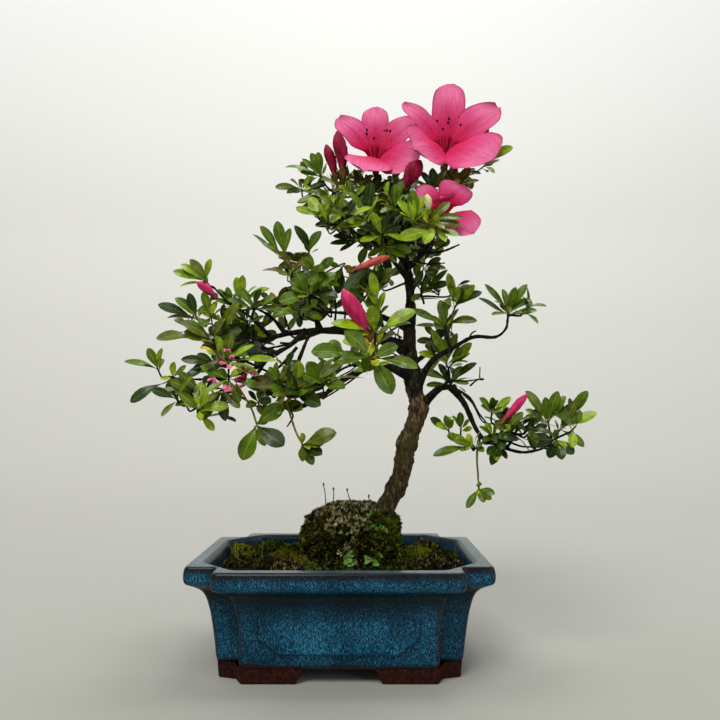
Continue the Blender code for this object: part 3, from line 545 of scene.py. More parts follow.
def glaze_paint():
    """Teal glaze with light flecks that ran down, brown where it thins over edges, greyer on the rim, with
    painted shade along the foot of each raised panel.
    """
    paint = Paint("glaze", srgb(16, 60, 80), 0.2, 0.16)
    run = paint.noise(0.62, 3, (1, 1, 0.36), 0.7)
    drops = paint.noise(0.36, 2, (1, 1, 0.7), 0.6)
    flecks = paint.maths("ADD", paint.maths("MULTIPLY", run, 0.62), paint.maths("MULTIPLY", drops, 0.38))
    flecks = paint.maths("ADD", flecks, paint.swing(paint.noise(24), 0.16))
    low, middle = (0.38, srgb(1, 19, 34)), (0.47, srgb(3, 43, 64))
    bright = paint.ramp(flecks, low, middle, (0.54, srgb(8, 76, 104)), (0.63, srgb(72, 152, 188)))
    smooth = paint.ramp(flecks, (0.4, srgb(1, 14, 20)), (0.6, srgb(6, 38, 46)))
    body = paint.mix(paint.attribute("fleck"), smooth, bright)
    rim = paint.ramp(flecks, (0.38, srgb(16, 42, 52)), (0.5, srgb(54, 84, 92)), (0.62, srgb(104, 132, 138)))
    pinholes = paint.span(paint.cells(4.5), 0.07, 0.1)
    rim = paint.mix(pinholes, srgb(16, 18, 20), rim)
    body = paint.mix(paint.attribute("rim"), body, rim)
    # brown where the glaze thins over edges; along each panel's foot the same mask paints shade
    brown_edge_and_shade = paint.maths("MULTIPLY", paint.attribute("brown_edge_and_shade"), paint.span(paint.noise(5), 0.12, 0.42))
    body = paint.mix(brown_edge_and_shade, body, srgb(30, 18, 16))
    foot_line = paint.maths("ADD", paint.height(), paint.swing(paint.noise(26, 2), 9))
    paint.colour(paint.mix(paint.span(foot_line, 12.2, 11.2), body, srgb(46, 20, 12)))
    paint.put(paint.shader, "Roughness", paint.ramp(flecks, (0.4, 0.14), (0.7, 0.36)))
    paint.bump(run, 0.1, 0.5)
    return paint.material


def clay_paint():
    """Bare fired clay, reddish brown and rough."""
    paint = Paint("clay", srgb(44, 18, 11), 0.85, 0.12)
    grain = paint.noise(2.2, 5)
    dark, light = (0.3, srgb(24, 9, 5)), (0.72, srgb(72, 32, 20))
    paint.colour(paint.ramp(grain, dark, (0.5, srgb(44, 18, 11)), light))
    paint.bump(grain, 0.3, 0.6)
    return paint.material


def foot_outline(inset, gap_x, gap_y, sx, sy):
    """One foot in plan, which follows the recessed corner outside and inside."""
    points = []
    for depth in (inset, inset + FOOT_WIDTH):
        a, b, nx, ny = plan_sizes(depth)
        cut = 1 - FOOT_CUT / 2
        run = [(a, gap_y), (a, b - ny), (a - nx * cut, b - ny * cut), (a - nx, b), (gap_x, b)]
        points += run if depth == inset else run[::-1]
    return [(sx * x, sy * y) for x, y in points]


def make_panel(bm, side, layers):
    """The low raised panel on a long side, with a dark line along its foot that is painted shade under it,
    partly brown glaze.
    """
    low = min(z for _, z in PANEL_OUTLINE)
    high = max(z for _, z in PANEL_OUTLINE)
    rings = []
    for share, size, brown_edge_and_shade, fleck in PANEL_RINGS:
        ring = []
        for x, z in PANEL_OUTLINE:
            fade = max(0, 1 - (z - low) / (high - low) * PANEL_FADE)
            proud = PANEL_PROUD * share * fade - (PANEL_SINK if share < 1 else 0) * (1 - fade)
            if share < 0:
                proud = share
            height = low + PANEL_MIDDLE + (z - low - PANEL_MIDDLE) * size
            out = side * (POT_DEPTH / 2 - wall_inset(height) + proud)
            place = (x * (1 + (size - 1) * 0.4), out, height)
            # the dark edge value paints shade at the panel's foot, strongest where the panel stands out
            # most
            ring.append(new_vertex(bm, place, layers, (brown_edge_and_shade * (0.3 + 0.7 * fade), 0, fleck)))
        rings.append(ring)
    bridge(bm, rings)
    bm.faces.new(rings[-1])


def turn_faces_out(bm):
    bm.normal_update()
    bmesh.ops.recalc_face_normals(bm, faces=bm.faces)


def make_pot():
    """The glazed vessel with its panels, then its four bare feet."""
    bm = bmesh.new()
    layers = [bm.verts.layers.float.new(name) for name in ("brown_edge_and_shade", "rim", "fleck")]
    rings = []
    for number, (inset, z, brown_edge_and_shade, rim, fleck) in enumerate(POT_PROFILE):
        ring = []
        for point, corner in pot_plan(inset, z, number >= RIM_INNER):
            brown = max(brown_edge_and_shade, CORNER_BROWN * corner * (1 - rim) if z < LIP_FOOT else 0)
            ring.append(new_vertex(bm, (*point, z), layers, (brown, rim, fleck)))
        rings.append(ring)
    bridge(bm, rings)
    bm.faces.new(rings[0][::-1])
    bm.faces.new(rings[-1])
    for side in (-1, 1):
        make_panel(bm, side, layers)
    turn_faces_out(bm)
    pot = add_piece("pot_glazed", bm, [glaze_paint()], ["pot"])
    pot.data.set_sharp_from_angle(angle=math.radians(LIP_ANGLE))
    bm = bmesh.new()
    for sx, sy in ((-1, -1), (-1, 1), (1, -1), (1, 1)):
        rings = []
        for z, outwards, slant in FOOT_RINGS:
            gaps = [gap / 2 + FOOT_SLANT * (1 - z / FOOT_TOP) * slant for gap in (FOOT_GAP_X, FOOT_GAP_Y)]
            outline = foot_outline(FOOT_INSET - outwards, *gaps, sx, sy)
            rings.append([bm.verts.new((x, y, z)) for x, y in outline])
        bridge(bm, rings)
        bm.faces.new(rings[0])
    turn_faces_out(bm)
    feet = add_piece("pot_feet", bm, [clay_paint()], smooth=False)
    bevel = feet.modifiers.new("Bevel", "BEVEL")
    bevel.width = FOOT_BEVEL * MM
    bevel.segments = 2


def mound_point(way):
    """A point of the mound's lumpy surface in a direction, before the moss on it."""
    flat = math.hypot(way.x, way.y)
    spread = flat**MOUND_STEEP / flat if flat > 1e-6 else 1
    place = Vector((
        MOUND_CENTRE[0] + way.x * spread * MOUND_HALF[0],
        MOUND_CENTRE[1] + way.y * spread * MOUND_HALF[1],
        SOIL_TOP + abs(way.z) ** MOUND_ROUND * (MOUND_TOP - SOIL_TOP),
    ))
    lump = lumps(place, (0.06, 4.5), (0.15, 3.6), (0.42, 2.2))
    return place + Vector((way.x, way.y, way.z * 0.5)) * (lump - 2.2)


def ground_point(angle, share):
    """A point of the open soil: share runs from the mound's foot to the pot's inner wall."""
    way = Vector((math.cos(angle), math.sin(angle)))
    middle = Vector(MOUND_CENTRE)
    inner = pot_corners(SOIL_EDGE, 1)
    reach = 0
    for a, b in zip(inner, inner[1:] + inner[:1]):
        side = b - a
        cross = way.x * side.y - way.y * side.x
        if abs(cross) < 1e-9:
            continue
        offset = a - middle
        far = (offset.x * side.y - offset.y * side.x) / cross
        along = (offset.x * way.y - offset.y * way.x) / cross
        if far > 0 and 0 <= along <= 1:
            reach = max(reach, far)
    near = 0.8 * MOUND_HALF[0]
    x, y = middle + way * (near + (reach - near) * share)
    bump = lumps(Vector((x, y, 0)), (0.05, SOIL_RISE), (0.16, 1.6), (0.45, 0.8))
    return Vector((x, y, SOIL_TOP + 0.6 + bump * (1 - share**8) + 2.5 * (1 - share) ** 2))


def soil_paint():
    """Damp dark soil with bits of bark."""
    paint = Paint("soil", srgb(24, 18, 11), 0.95, 0.1)
    grains = paint.cells(1.6)
    bits = paint.span(paint.noise(4, 5), 0.56, 0.66)
    earth = paint.ramp(grains, (0.1, srgb(48, 33, 18)), (0.45, srgb(20, 14, 8)), (0.9, srgb(4, 3, 2)))
    paint.colour(paint.mix(bits, earth, srgb(64, 40, 22)))
    paint.bump(grains, 1.6, 0.9)
    return paint.material


def mound_paint():
    """The dark body of the mound between its sprigs of moss."""
    paint = Paint("mound", srgb(30, 27, 10), 0.95, 0.1)
    grains = paint.cells(1.6)
    earth = paint.ramp(grains, (0.1, srgb(44, 38, 16)), (0.5, srgb(16, 14, 6)), (0.9, srgb(4, 4, 2)))
    paint.colour(paint.mix(paint.span(paint.noise(9, 4), 0.42, 0.6), earth, srgb(10, 11, 4)))
    paint.bump(paint.noise(1.6, 4), 1.5, 0.9)
    return paint.material


def moss_paint(name, dark, light):
    """One tint of moss, uneven from tuft to tuft."""
    paint = Paint(name, srgb(*dark), 0.9, 0.15)
    paint.colour(paint.ramp(paint.noise(5, 4), (0.35, srgb(*dark)), (0.65, srgb(*light))))
    return paint.material


def tuft(bm, place, out, length, rng, slot):
    """A sprig of moss: three narrow blades that lean apart."""
    side = out.orthogonal().normalized()
    turn = rng.uniform(0, math.tau)
    for k in range(3):
        across = turned(side, out, turn + k * math.tau / 3)
        along = (out + across * rng.uniform(0.25, 0.8)).normalized()
        width = out.cross(across).normalized() * length * 0.16
        add_scale(bm, place - out * 0.5, place + along * length * 0.5, width, place + along * length, slot)


def make_ground():
    """The soil, the moss mound, and what grows on them."""
    bm = bmesh.new()
    rings = []
    for s in range(SOIL_ROWS + 1):
        turns = [math.tau * k / SOIL_TURNS for k in range(SOIL_TURNS)]
        rings.append([bm.verts.new(ground_point(turn, s / SOIL_ROWS)) for turn in turns])
    bridge(bm, rings)
    bm.normal_update()
    add_piece("soil_surface", bm, [soil_paint()], ["soil"])
    bm = bmesh.new()
    rings = []
    for s in range(MOUND_ROWS):
        lean = math.pi / 2 * s / (MOUND_ROWS - 1)
        sink = UP * (0 if s else MOUND_SINK)
        ring = []
        for k in range(MOUND_TURNS):
            angle = math.tau * k / MOUND_TURNS
            flat = math.cos(lean)
            way = Vector((flat * math.cos(angle), flat * math.sin(angle), math.sin(lean)))
            ring.append(bm.verts.new(mound_point(way) - sink))
        rings.append(ring)
    bridge(bm, rings)
    bm.faces.new(rings[-1])
    add_piece("mound_core", bm, [mound_paint()], ["moss_mound"])
    make_moss()
    make_small_growth()


def moss_tint(place, way, height, rng):
    """The tint of a sprig on the mound: cream and tan on its top and left, pale in its middle, green on its
    right, near-black where shade is painted between strands.
    """
    patch = noise.noise(place * 0.11 + Vector((5, 0, 0)))
    speck = noise.noise(place * 0.5 + Vector((0, 9, 0)))
    top_left = 0.9 * (height - 0.55) - 0.45 * way.x + 0.5 * patch
    pale = 0.35 - abs(way.x + 0.1) + 0.5 * patch + 0.5 * (height - 0.2)
    if top_left > 0.28:
        # near-black sprigs among the pale ones paint shade in the gaps
        return CREAM if speck > 0.22 else TAN if speck > 0.06 else rng.choice((MOSS_SHADE, MOSS_SHADE, MOSS_SHADE, OLIVE))
    if pale > 0.22 and speck > 0.12:
        return CREAM
    if noise.noise(place * 0.16) > 0.2 or way.x > 0.35 and speck > 0:
        return GREEN if rng.random() < 0.4 else OLIVE
    # near-black sprigs paint shade between strands
    return rng.choice((MOSS_SHADE, MOSS_SHADE, OLIVE, OLIVE, GOLD if rng.random() < 0.3 else MOSS_SHADE))


def make_moss():
    """Moss sprigs over the mound and in patches on the soil, in tints that keep their places."""
    rng = random.Random(11)
    bm = bmesh.new()
    for _ in range(MOSS_COUNT):
        height = rng.uniform(0.02, 1)
        way = on_sphere(rng.uniform(0, math.tau), height)
        place = mound_point(way)
        out = Vector((way.x, way.y, way.z + 0.35)).normalized()
        slot = moss_tint(place, way, height, rng)
        tuft(bm, place, out, rng.uniform(*SPRIG_LENGTHS), rng, slot)
    for pixel, reach, count, slots in GROUND_MOSS:
        ray = seen(pixel, 0) - CAMERA_PLACE
        middle = CAMERA_PLACE + ray * ((CAMERA_PLACE.z - SOIL_TOP) / -ray.z)
        for _ in range(count):
            angle, out = rng.uniform(0, math.tau), math.sqrt(rng.random())
            across, back = math.cos(angle) * out * reach, math.sin(angle) * out * reach * PATCH_STRETCH
            place = middle + Vector((across, back, 0))
            far_x, far_y = abs(place.x), abs(place.y)
            if far_x > MOSS_EDGE_X or far_y > MOSS_EDGE_Y or far_x + far_y > MOSS_EDGE_BOTH:
                continue
            rise = PATCH_RISE * (1 - out**2) * (0.4 + 0.6 * noise.noise(place * 0.2) + 0.3)
            place.z = SOIL_TOP + 1 + rise
            tuft(bm, place, UP, rng.uniform(*PATCH_LENGTHS), rng, rng.choice(slots))
    add_piece("moss_sprigs", bm, [moss_paint(*tint) for tint in MOSS_TINTS])


def mound_front():
    """Places over the front of the mound, each with the way that its surface faces."""
    spots = []
    for turn in range(FRONT_TURNS):
        angle = math.radians(FRONT_FROM + FRONT_SPAN * turn / FRONT_TURNS)
        for row in range(FRONT_ROWS):
            height = (row + 0.5) / FRONT_ROWS
            out = Vector((math.cos(angle), math.sin(angle), 0.4 + height)).normalized()
            spots.append((mound_point(on_sphere(angle, height)), out))
    return spots


def make_small_growth():
    """Spore stalks on the mound, flat liverwort lobes on its front and a few blades of grass."""
    tints = [
        moss_paint("liverwort", (66, 112, 40), (122, 160, 84)),
        moss_paint("spore_stalk", (78, 72, 44), (128, 120, 80)),
        moss_paint("grass", (120, 130, 40), (168, 176, 70)),
    ]
    lobe_slot, stalk_slot, grass_slot = range(3)
    rng = random.Random(5)
    bm = bmesh.new()
    for foot, top in STALKS:
        root, tip = seen(foot, STALK_DEPTH), seen(top, STALK_DEPTH)
        root.z -= STALK_ROOT
        stick(bm, [root, root.lerp(tip, 0.6) + Vector((0.5, 0, 0)), tip], 4, STALK_RADII, 6, stalk_slot)
        sweep(bm, [tip + UP * step for step in CAP_STEPS], CAP_RADII, 8, stalk_slot)
    front = mound_front()
    for pixel, size in LIVERWORT:
        ray = (seen(pixel, 0) - CAMERA_PLACE).normalized()
        place, out = min(front, key=lambda spot: (spot[0] - CAMERA_PLACE).cross(ray).length)
        place = place + out * LOBE_LIFT
        side = out.orthogonal().normalized()
        rim = []
        for k in range(LOBE_POINTS):
            angle = math.tau * k / LOBE_POINTS
            scallop = 0.82 + 0.22 * math.sin(3 * k * math.tau / LOBE_POINTS + size * 9)
            reach = size * scallop * rng.uniform(0.85, 1.1)
            lift = out * rng.uniform(-0.2, 0.9)
            rim.append(bm.verts.new(place + turned(side, out, angle) * reach + lift))
        middle = bm.verts.new(place - out * 0.6)
        for first, second in zip(rim, rim[1:] + rim[:1]):
            bm.faces.new((first, second, middle)).material_index = lobe_slot
    for column, depth in GRASS:
        root = seen((column, GRASS_PIXEL_ROW), depth)
        root.z = SOIL_TOP
        tip = root + Vector((rng.uniform(-GRASS_LEAN, GRASS_LEAN), 0, rng.uniform(*GRASS_HEIGHTS)))
        middle = root.lerp(tip, 0.5) + Vector((rng.uniform(-1, 1), 0, 0))
        stick(bm, [root, middle, tip], 4, GRASS_RADII, 4, grass_slot)
    add_piece("small_growth", bm, tints)


# Trunk, as in the part's source: centre line, and burls as height, extra radius and spread
TRUNK_LINE = [
    (14, 0, 60), (24, 0, 90), (43, -2, 127), (48, -3, 152), (57, -4, 177),
    (54, -2, 195), (51, 0, 225), (52, 0, 262), (49, 0, 292), (44, -2, 322),
]
TRUNK_FOOT_RADIUS = 8.6
TRUNK_TIP_RADIUS = 2.4
TRUNK_SIDES = 44
ROOT_FLARE = 4.5
ROOT_FLARE_HEIGHT = 14
BURLS = [(150, 2.2, 8), (178, 1.8, 7), (205, 1.2, 8)]
UPPER_BARK_FROM = 190
SLIMMING = 0.28
COLLAR = 0.5
TWIG_THINNING = 0.55

# Bark: dark colour, light colour, and the colour of its patches
BARKS = {
    "bark_trunk": ((66, 53, 34), (124, 104, 70), (72, 71, 34)),
    "bark_upper": ((30, 25, 16), (74, 65, 42), (43, 42, 20)),
    "bark_bough": ((17, 15, 11), (50, 43, 32), (31, 30, 17)),
    "twig_old": ((24, 20, 16), (66, 56, 44), (40, 38, 24)),
    "twig_young": ((112, 102, 42), (160, 144, 72), (106, 76, 34)),
}

# Boughs, as in the part's source: the limb that each one leaves, its radius at both ends and its line
LIMBS = {
    "left_high_bough": Limb("trunk", 4.4, 1.9, [
        (51, 0, 224), (22, -8, 233), (-3, -15, 236), (-32, -22, 234), (-58, -30, 227),
    ]),
    "left_fork_bough": Limb("left_high_bough", 2.2, 1.3, [
        (-26, -21, 235), (-39, -34, 221), (-54, -42, 215), (-66, -46, 211),
    ]),
    "left_reach_bough": Limb("left_fork_bough", 1.3, 0.9, [
        (-42, -36, 220), (-53, -48, 209), (-66, -52, 202), (-90, -51, 198), (-113, -47, 199),
    ]),
    "left_rise_bough": Limb("left_high_bough", 1.4, 1.0, [
        (-50, -27, 229), (-64, -33, 243), (-78, -38, 252), (-89, -40, 263),
    ]),
    "left_crest_bough": Limb("left_high_bough", 1.6, 1.1, [
        (-40, -24, 232), (-50, -25, 244), (-60, -30, 250),
    ]),
    "left_under_bough": Limb("left_fork_bough", 1.4, 1.0, [
        (-50, -40, 217), (-58, -46, 201), (-72, -52, 190), (-84, -53, 187),
    ]),
    "upper_left_bough": Limb("left_high_bough", 2.2, 1.4, [
        (-16, -18, 236), (-20, -16, 249), (-24, -15, 259),
    ]),
    "inner_bough": Limb("left_high_bough", 1.3, 1.0, [(-22, -20, 235), (-28, -34, 218), (-34, -44, 199)]),
    "left_low_bough": Limb("trunk", 3.4, 1.2, [
        (53, -1, 202), (34, -20, 209), (20, -38, 207), (4, -52, 198), (-12, -60, 186), (-30, -64, 178),
    ]),
    "front_bough": Limb("left_low_bough", 1.8, 1.2, [(20, -38, 207), (20, -56, 206), (21, -70, 209)]),
    "front_rise_bough": Limb("left_high_bough", 1.6, 1.1, [(33, -5, 230), (30, -20, 239), (27, -34, 250)]),
    "crown_left_bough": Limb("trunk", 2.6, 1.3, [
        (49, 0, 292), (30, -4, 310), (10, -4, 328), (-4, -2, 343),
    ]),
    "crown_front_left_bough": Limb("trunk", 2.2, 1.3, [(51, 0, 278), (38, -16, 288), (24, -26, 299)]),
    "crown_right_bough": Limb("trunk", 2.4, 1.3, [
        (50, 0, 287), (62, -3, 298), (72, -8, 314), (79, -11, 330),
    ]),
    "crown_back_bough": Limb("trunk", 2.2, 1.3, [(51, 0, 282), (51, 16, 294), (49, 30, 309)]),
    "high_stub": Limb("crown_right_bough", 1.3, 0.9, [(62, -3, 298), (76, -2, 299), (90, 0, 305)]),
    "right_high_bough": Limb("trunk", 2.9, 1.1, [
        (55, -3, 190), (66, -8, 213), (83, -10, 224), (98, -10, 232), (114, -10, 232), (122, -10, 238),
        (124, -10, 247),
    ]),
    "right_spur_bough": Limb("right_high_bough", 1.2, 0.9, [(81, -10, 223), (78, -9, 233), (77, -8, 241)]),
    "right_low_bough": Limb("trunk", 3.6, 2.6, [
        (57, -4, 179), (66, -6, 188), (73, -8, 194), (81, -10, 195),
    ]),
    "right_fall_bough": Limb("right_low_bough", 2.4, 1.1, [
        (81.6, -10.2, 194.8), (90, -14, 182), (98, -18, 163), (106, -21, 155), (126, -24, 148),
        (139, -24, 149), (147, -24, 152),
    ]),
    "right_stub": Limb("right_low_bough", 1.1, 0.7, [
        (73, -9, 194), (80, -14, 199), (91, -12, 199), (104, -9, 201),
    ]),
    "right_middle_bough": Limb("right_low_bough", 1.4, 1.0, [(76, -9, 195), (79, -3, 201), (81, 1, 205)]),
    "right_inner_bough": Limb("right_fall_bough", 1.2, 0.9, [
        (100, -19, 160), (98, -23, 153), (94, -25, 149),
    ]),
    "right_near_bough": Limb("right_fall_bough", 1.2, 0.9, [
        (118, -23, 151), (121, -27, 156), (122, -29, 160),
    ]),
    "back_left_bough": Limb("trunk", 3.0, 1.4, [(51, 0, 240), (30, 22, 252), (0, 38, 258), (-20, 44, 260)]),
    "back_low_bough": Limb("back_left_bough", 1.8, 1.2, [
        (20, 28, 255), (-10, 30, 244), (-44, 32, 232), (-62, 33, 228),
    ]),
    "back_right_bough": Limb("trunk", 2.4, 1.3, [(52, -1, 212), (66, 22, 222), (80, 38, 228)]),
}

# Masses of leaves: the limb whose tip holds each one, its centre, its half sizes and its shoots
MASSES = {
    "left_tip_leaves": Mass("left_reach_bough", (-128, -46, 200), (24, 22, 22), 2),
    "left_top_leaves": Mass("left_rise_bough", (-101, -41, 271), (24, 20, 19), 2),
    "left_shoulder_leaves": Mass("left_high_bough", (-97, -42, 238), (33, 26, 19), 5),
    "left_crest_leaves": Mass("left_crest_bough", (-66, -32, 259), (27, 26, 20), 4),
    "left_middle_leaves": Mass("left_fork_bough", (-78, -52, 211), (27, 26, 20), 4),
    "left_under_leaves": Mass("left_under_bough", (-97, -53, 183), (29, 24, 18), 5),
    "inner_leaves": Mass("inner_bough", (-30, -52, 193), (27, 24, 18), 4),
    "inner_hang_leaves": Mass("left_low_bough", (-22, -64, 158), (22, 20, 22), 1),
    "upper_left_leaves": Mass("upper_left_bough", (-28, -15, 278), (33, 28, 38), 9),
    "front_leaves": Mass("front_bough", (20, -86, 217), (31, 26, 27), 4),
    "front_rise_leaves": Mass("front_rise_bough", (30, -38, 265), (21, 22, 24), 3),
    "crown_left_leaves": Mass("crown_left_bough", (-20, 0, 358), (32, 28, 23), 5),
    "crown_right_leaves": Mass("crown_right_bough", (88, -14, 348), (33, 30, 27), 6),
    "crown_front_left_leaves": Mass("crown_front_left_bough", (4, -34, 312), (36, 28, 23), 8),
    "crown_front_leaves": Mass("trunk", (44, -42, 322), (27, 26, 28), 6),
    "crown_top_leaves": Mass("trunk", (36, 2, 355), (33, 30, 22), 5),
    "crown_back_leaves": Mass("crown_back_bough", (48, 48, 330), (42, 32, 34), 7),
    "right_upper_leaves": Mass("trunk", (76, 4, 278), (23, 24, 26), 4),
    "right_spur_leaves": Mass("right_spur_bough", (81, -7, 251), (25, 22, 20), 3),
    "right_tip_leaves": Mass("right_high_bough", (125, -10, 257), (25, 22, 16), 2),
    "right_middle_leaves": Mass("right_middle_bough", (84, 9, 213), (25, 22, 22), 3),
    "right_inner_leaves": Mass("right_inner_bough", (84, -26, 158), (25, 22, 19), 3),
    "right_near_leaves": Mass("right_near_bough", (123, -31, 169), (22, 22, 19), 4),
    "right_far_leaves": Mass("right_fall_bough", (158, -24, 168), (27, 26, 23), 5),
    "back_left_leaves": Mass("back_left_bough", (-42, 48, 272), (32, 30, 27), 5),
    "back_low_leaves": Mass("back_low_bough", (-84, 34, 236), (28, 28, 22), 4),
    "back_middle_leaves": Mass("trunk", (28, 52, 285), (28, 26, 24), 3),
    "back_right_leaves": Mass("back_right_bough", (93, 48, 237), (28, 28, 24), 4),
}

# Thin bare twigs and stubs seen against the sky: depth y, base radius, and the pixels they run through
BARE_TWIGS = [
    (-48, 0.9, [(368, 363), (349, 374), (331, 386), (322, 398)]),
    (-42, 0.8, [(369, 366), (352, 380), (336, 391), (323, 399)]),
    (-54, 1.0, [(366, 362), (344, 368), (326, 382), (318, 385)]),
    (-36, 0.8, [(374, 360), (362, 362), (350, 371), (340, 376)]),
    (-26, 0.8, [(403, 352), (396, 345), (388, 335), (377, 331)]),
    (-22, 0.7, [(405, 347), (397, 342), (395, 334)]),
    (-24, 0.6, [(404, 358), (396, 350), (392, 341), (384, 338)]),
    (-20, 0.6, [(403, 344), (398, 335), (399, 326), (394, 320)]),
    (-28, 0.6, [(398, 356), (389, 352), (383, 353)]),
    (-20, 0.7, [(402, 338), (391, 330), (387, 317), (381, 314)]),
    (-58, 0.9, [(318, 396), (306, 406), (292, 410), (293, 417), (287, 427)]),
    (-50, 0.8, [(330, 391), (323, 399), (322, 394)]),
    (-43, 1.3, [(297, 347), (288, 358), (279, 367), (266, 377)]),
    (-8, 0.9, [(431, 345), (434, 355)]),
    (-10, 0.8, [(468, 340), (472, 333), (476, 331)]),
    (-9, 0.8, [(471, 338), (476, 336)]),
    (-9, 0.7, [(470, 386), (477, 380), (484, 379), (480, 379), (480, 367)]),
    (-16, 1.0, [(458, 390), (470, 398), (478, 412), (484, 420), (488, 425)]),
    (-20, 0.8, [(463, 394), (473, 404), (482, 421), (492, 424)]),
    (-30, 0.8, [(500, 433), (506, 427), (510, 420)]),
    (-28, 0.8, [(509, 444), (515, 434), (518, 424), (528, 420)]),
    (-24, 0.9, [(505, 440), (520, 446), (532, 447), (545, 447)]),
    (-22, 0.9, [(287, 330), (293, 337), (300, 336), (308, 333)]),
    (-24, 0.8, [(280, 343), (292, 343), (303, 339)]),
    (-26, 0.8, [(284, 314), (288, 327), (294, 335)]),
    (-30, 0.9, [(335, 322), (336, 306), (334, 296)]),
    (-28, 0.9, [(344, 323), (345, 312), (341, 300)]),
    (-30, 0.9, [(306, 343), (298, 366), (290, 392)]),
    (-6, 0.8, [(418, 262), (428, 264), (445, 263)]),
    (-4, 0.8, [(436, 250), (446, 243), (447, 236)]),
    (-2, 1.0, [(416, 262), (421, 248), (428, 240)]),
    (-2, 0.9, [(425, 259), (431, 249), (434, 238)]),
    (-8, 0.8, [(411, 285), (404, 270), (395, 262)]),
    (0, 0.9, [(424, 304), (421, 290), (425, 276), (430, 268)]),
]


def trunk_radii(line):
    """The trunk's radius along its line: an even taper, the root flare and the burls."""
    radii = taper(line, TRUNK_FOOT_RADIUS, TRUNK_TIP_RADIUS)
    for k, place in enumerate(line):
        radii[k] += ROOT_FLARE * math.exp(-max(0, place.z - SOIL_TOP) / ROOT_FLARE_HEIGHT)
        for height, extra, spread in BURLS:
            radii[k] += extra * math.exp(-(((place.z - height) / spread) ** 2))
    return radii


def limb_lines():
    """Each limb's line and radii, the trunk first. A bough widens where it leaves its parent."""
    trunk = smooth_line(TRUNK_LINE, 18)
    lines = {"trunk": (trunk, trunk_radii(trunk))}
    for name, limb in LIMBS.items():
        start = nearest_on_line(Vector(limb.line[0]), lines[limb.parent][0])
        line = smooth_line([start, *limb.line[1:]], 9)
        run = lengths(line)
        radii = taper(line, limb.base, limb.tip)
        radii = [r * (1 + COLLAR * math.exp(-s / (3 * limb.base))) for r, s in zip(radii, run)]
        lines[name] = (line, [r * (1 - SLIMMING * s / run[-1]) for r, s in zip(radii, run)])
    return lines


def trunk_relief(place, out):
    """Knobs, cracks and lengthwise ridges of the trunk's bark."""
    twist = turned(out, "Z", place.z * 0.01)
    ridges = abs(noise.noise(Vector((twist.x * 3.1, twist.y * 3.1, place.z * 0.045)))) - 0.2
    return 1.6 * ridges + lumps(place, (0.33, 0.9), (0.8, 0.45)) + lumps(place, (0.085, 1.8))


def bough_relief(place, out):
    return lumps(place, (0.35, 0.28), (0.9, 0.2))


def twig_relief(place, out):
    return lumps(place, (0.8, 0.15))


def bark_paint(name):
    """Cracked bark: dark in its cracks, lighter on its ridges, with patches of algae or young rind."""
    dark, light, patch = (srgb(*colour) for colour in BARKS[name])
    paint = Paint(name, dark, 0.9, 0.15)
    cracks = paint.noise(2.2, 6, (1, 1, 0.35), 0.65)
    patches = paint.noise(13, 4)
    body = paint.ramp(cracks, (0.36, scaled(dark, 0.35)), (0.5, dark), (0.64, light))
    paint.colour(paint.mix(paint.span(patches, 0.5, 0.66), body, patch))
    paint.bump(cracks, 0.9, 0.9)
    paint.bump(paint.cells(1.3, (1, 1, 0.5)), 0.4, 0.5)
    return paint.material


def make_wood(lines):
    """The trunk and every bough and stub, with the bark's relief."""
    bm = bmesh.new()
    sweep(bm, *lines["trunk"], TRUNK_SIDES, 0, trunk_relief)
    for face in bm.faces:
        middle = face.calc_center_median()
        if middle.z + 14 * noise.noise(middle * 0.09) > UPPER_BARK_FROM:
            face.material_index = 1
    add_piece("trunk_bark", bm, [bark_paint("bark_trunk"), bark_paint("bark_upper")], ["trunk"])
    bm = bmesh.new()
    for name in LIMBS:
        line, radii = lines[name]
        sweep(bm, line, radii, 14 if radii[-1] > 1 else 10, 0, bough_relief)
    for depth, radius, pixels in BARE_TWIGS:
        places = [seen(pixel, depth) for pixel in pixels]
        stick(bm, places, 5, (radius, radius * TWIG_THINNING), 7, 0, twig_relief)
    add_piece("boughs_bark", bm, [bark_paint("bark_bough")], list(LIMBS))
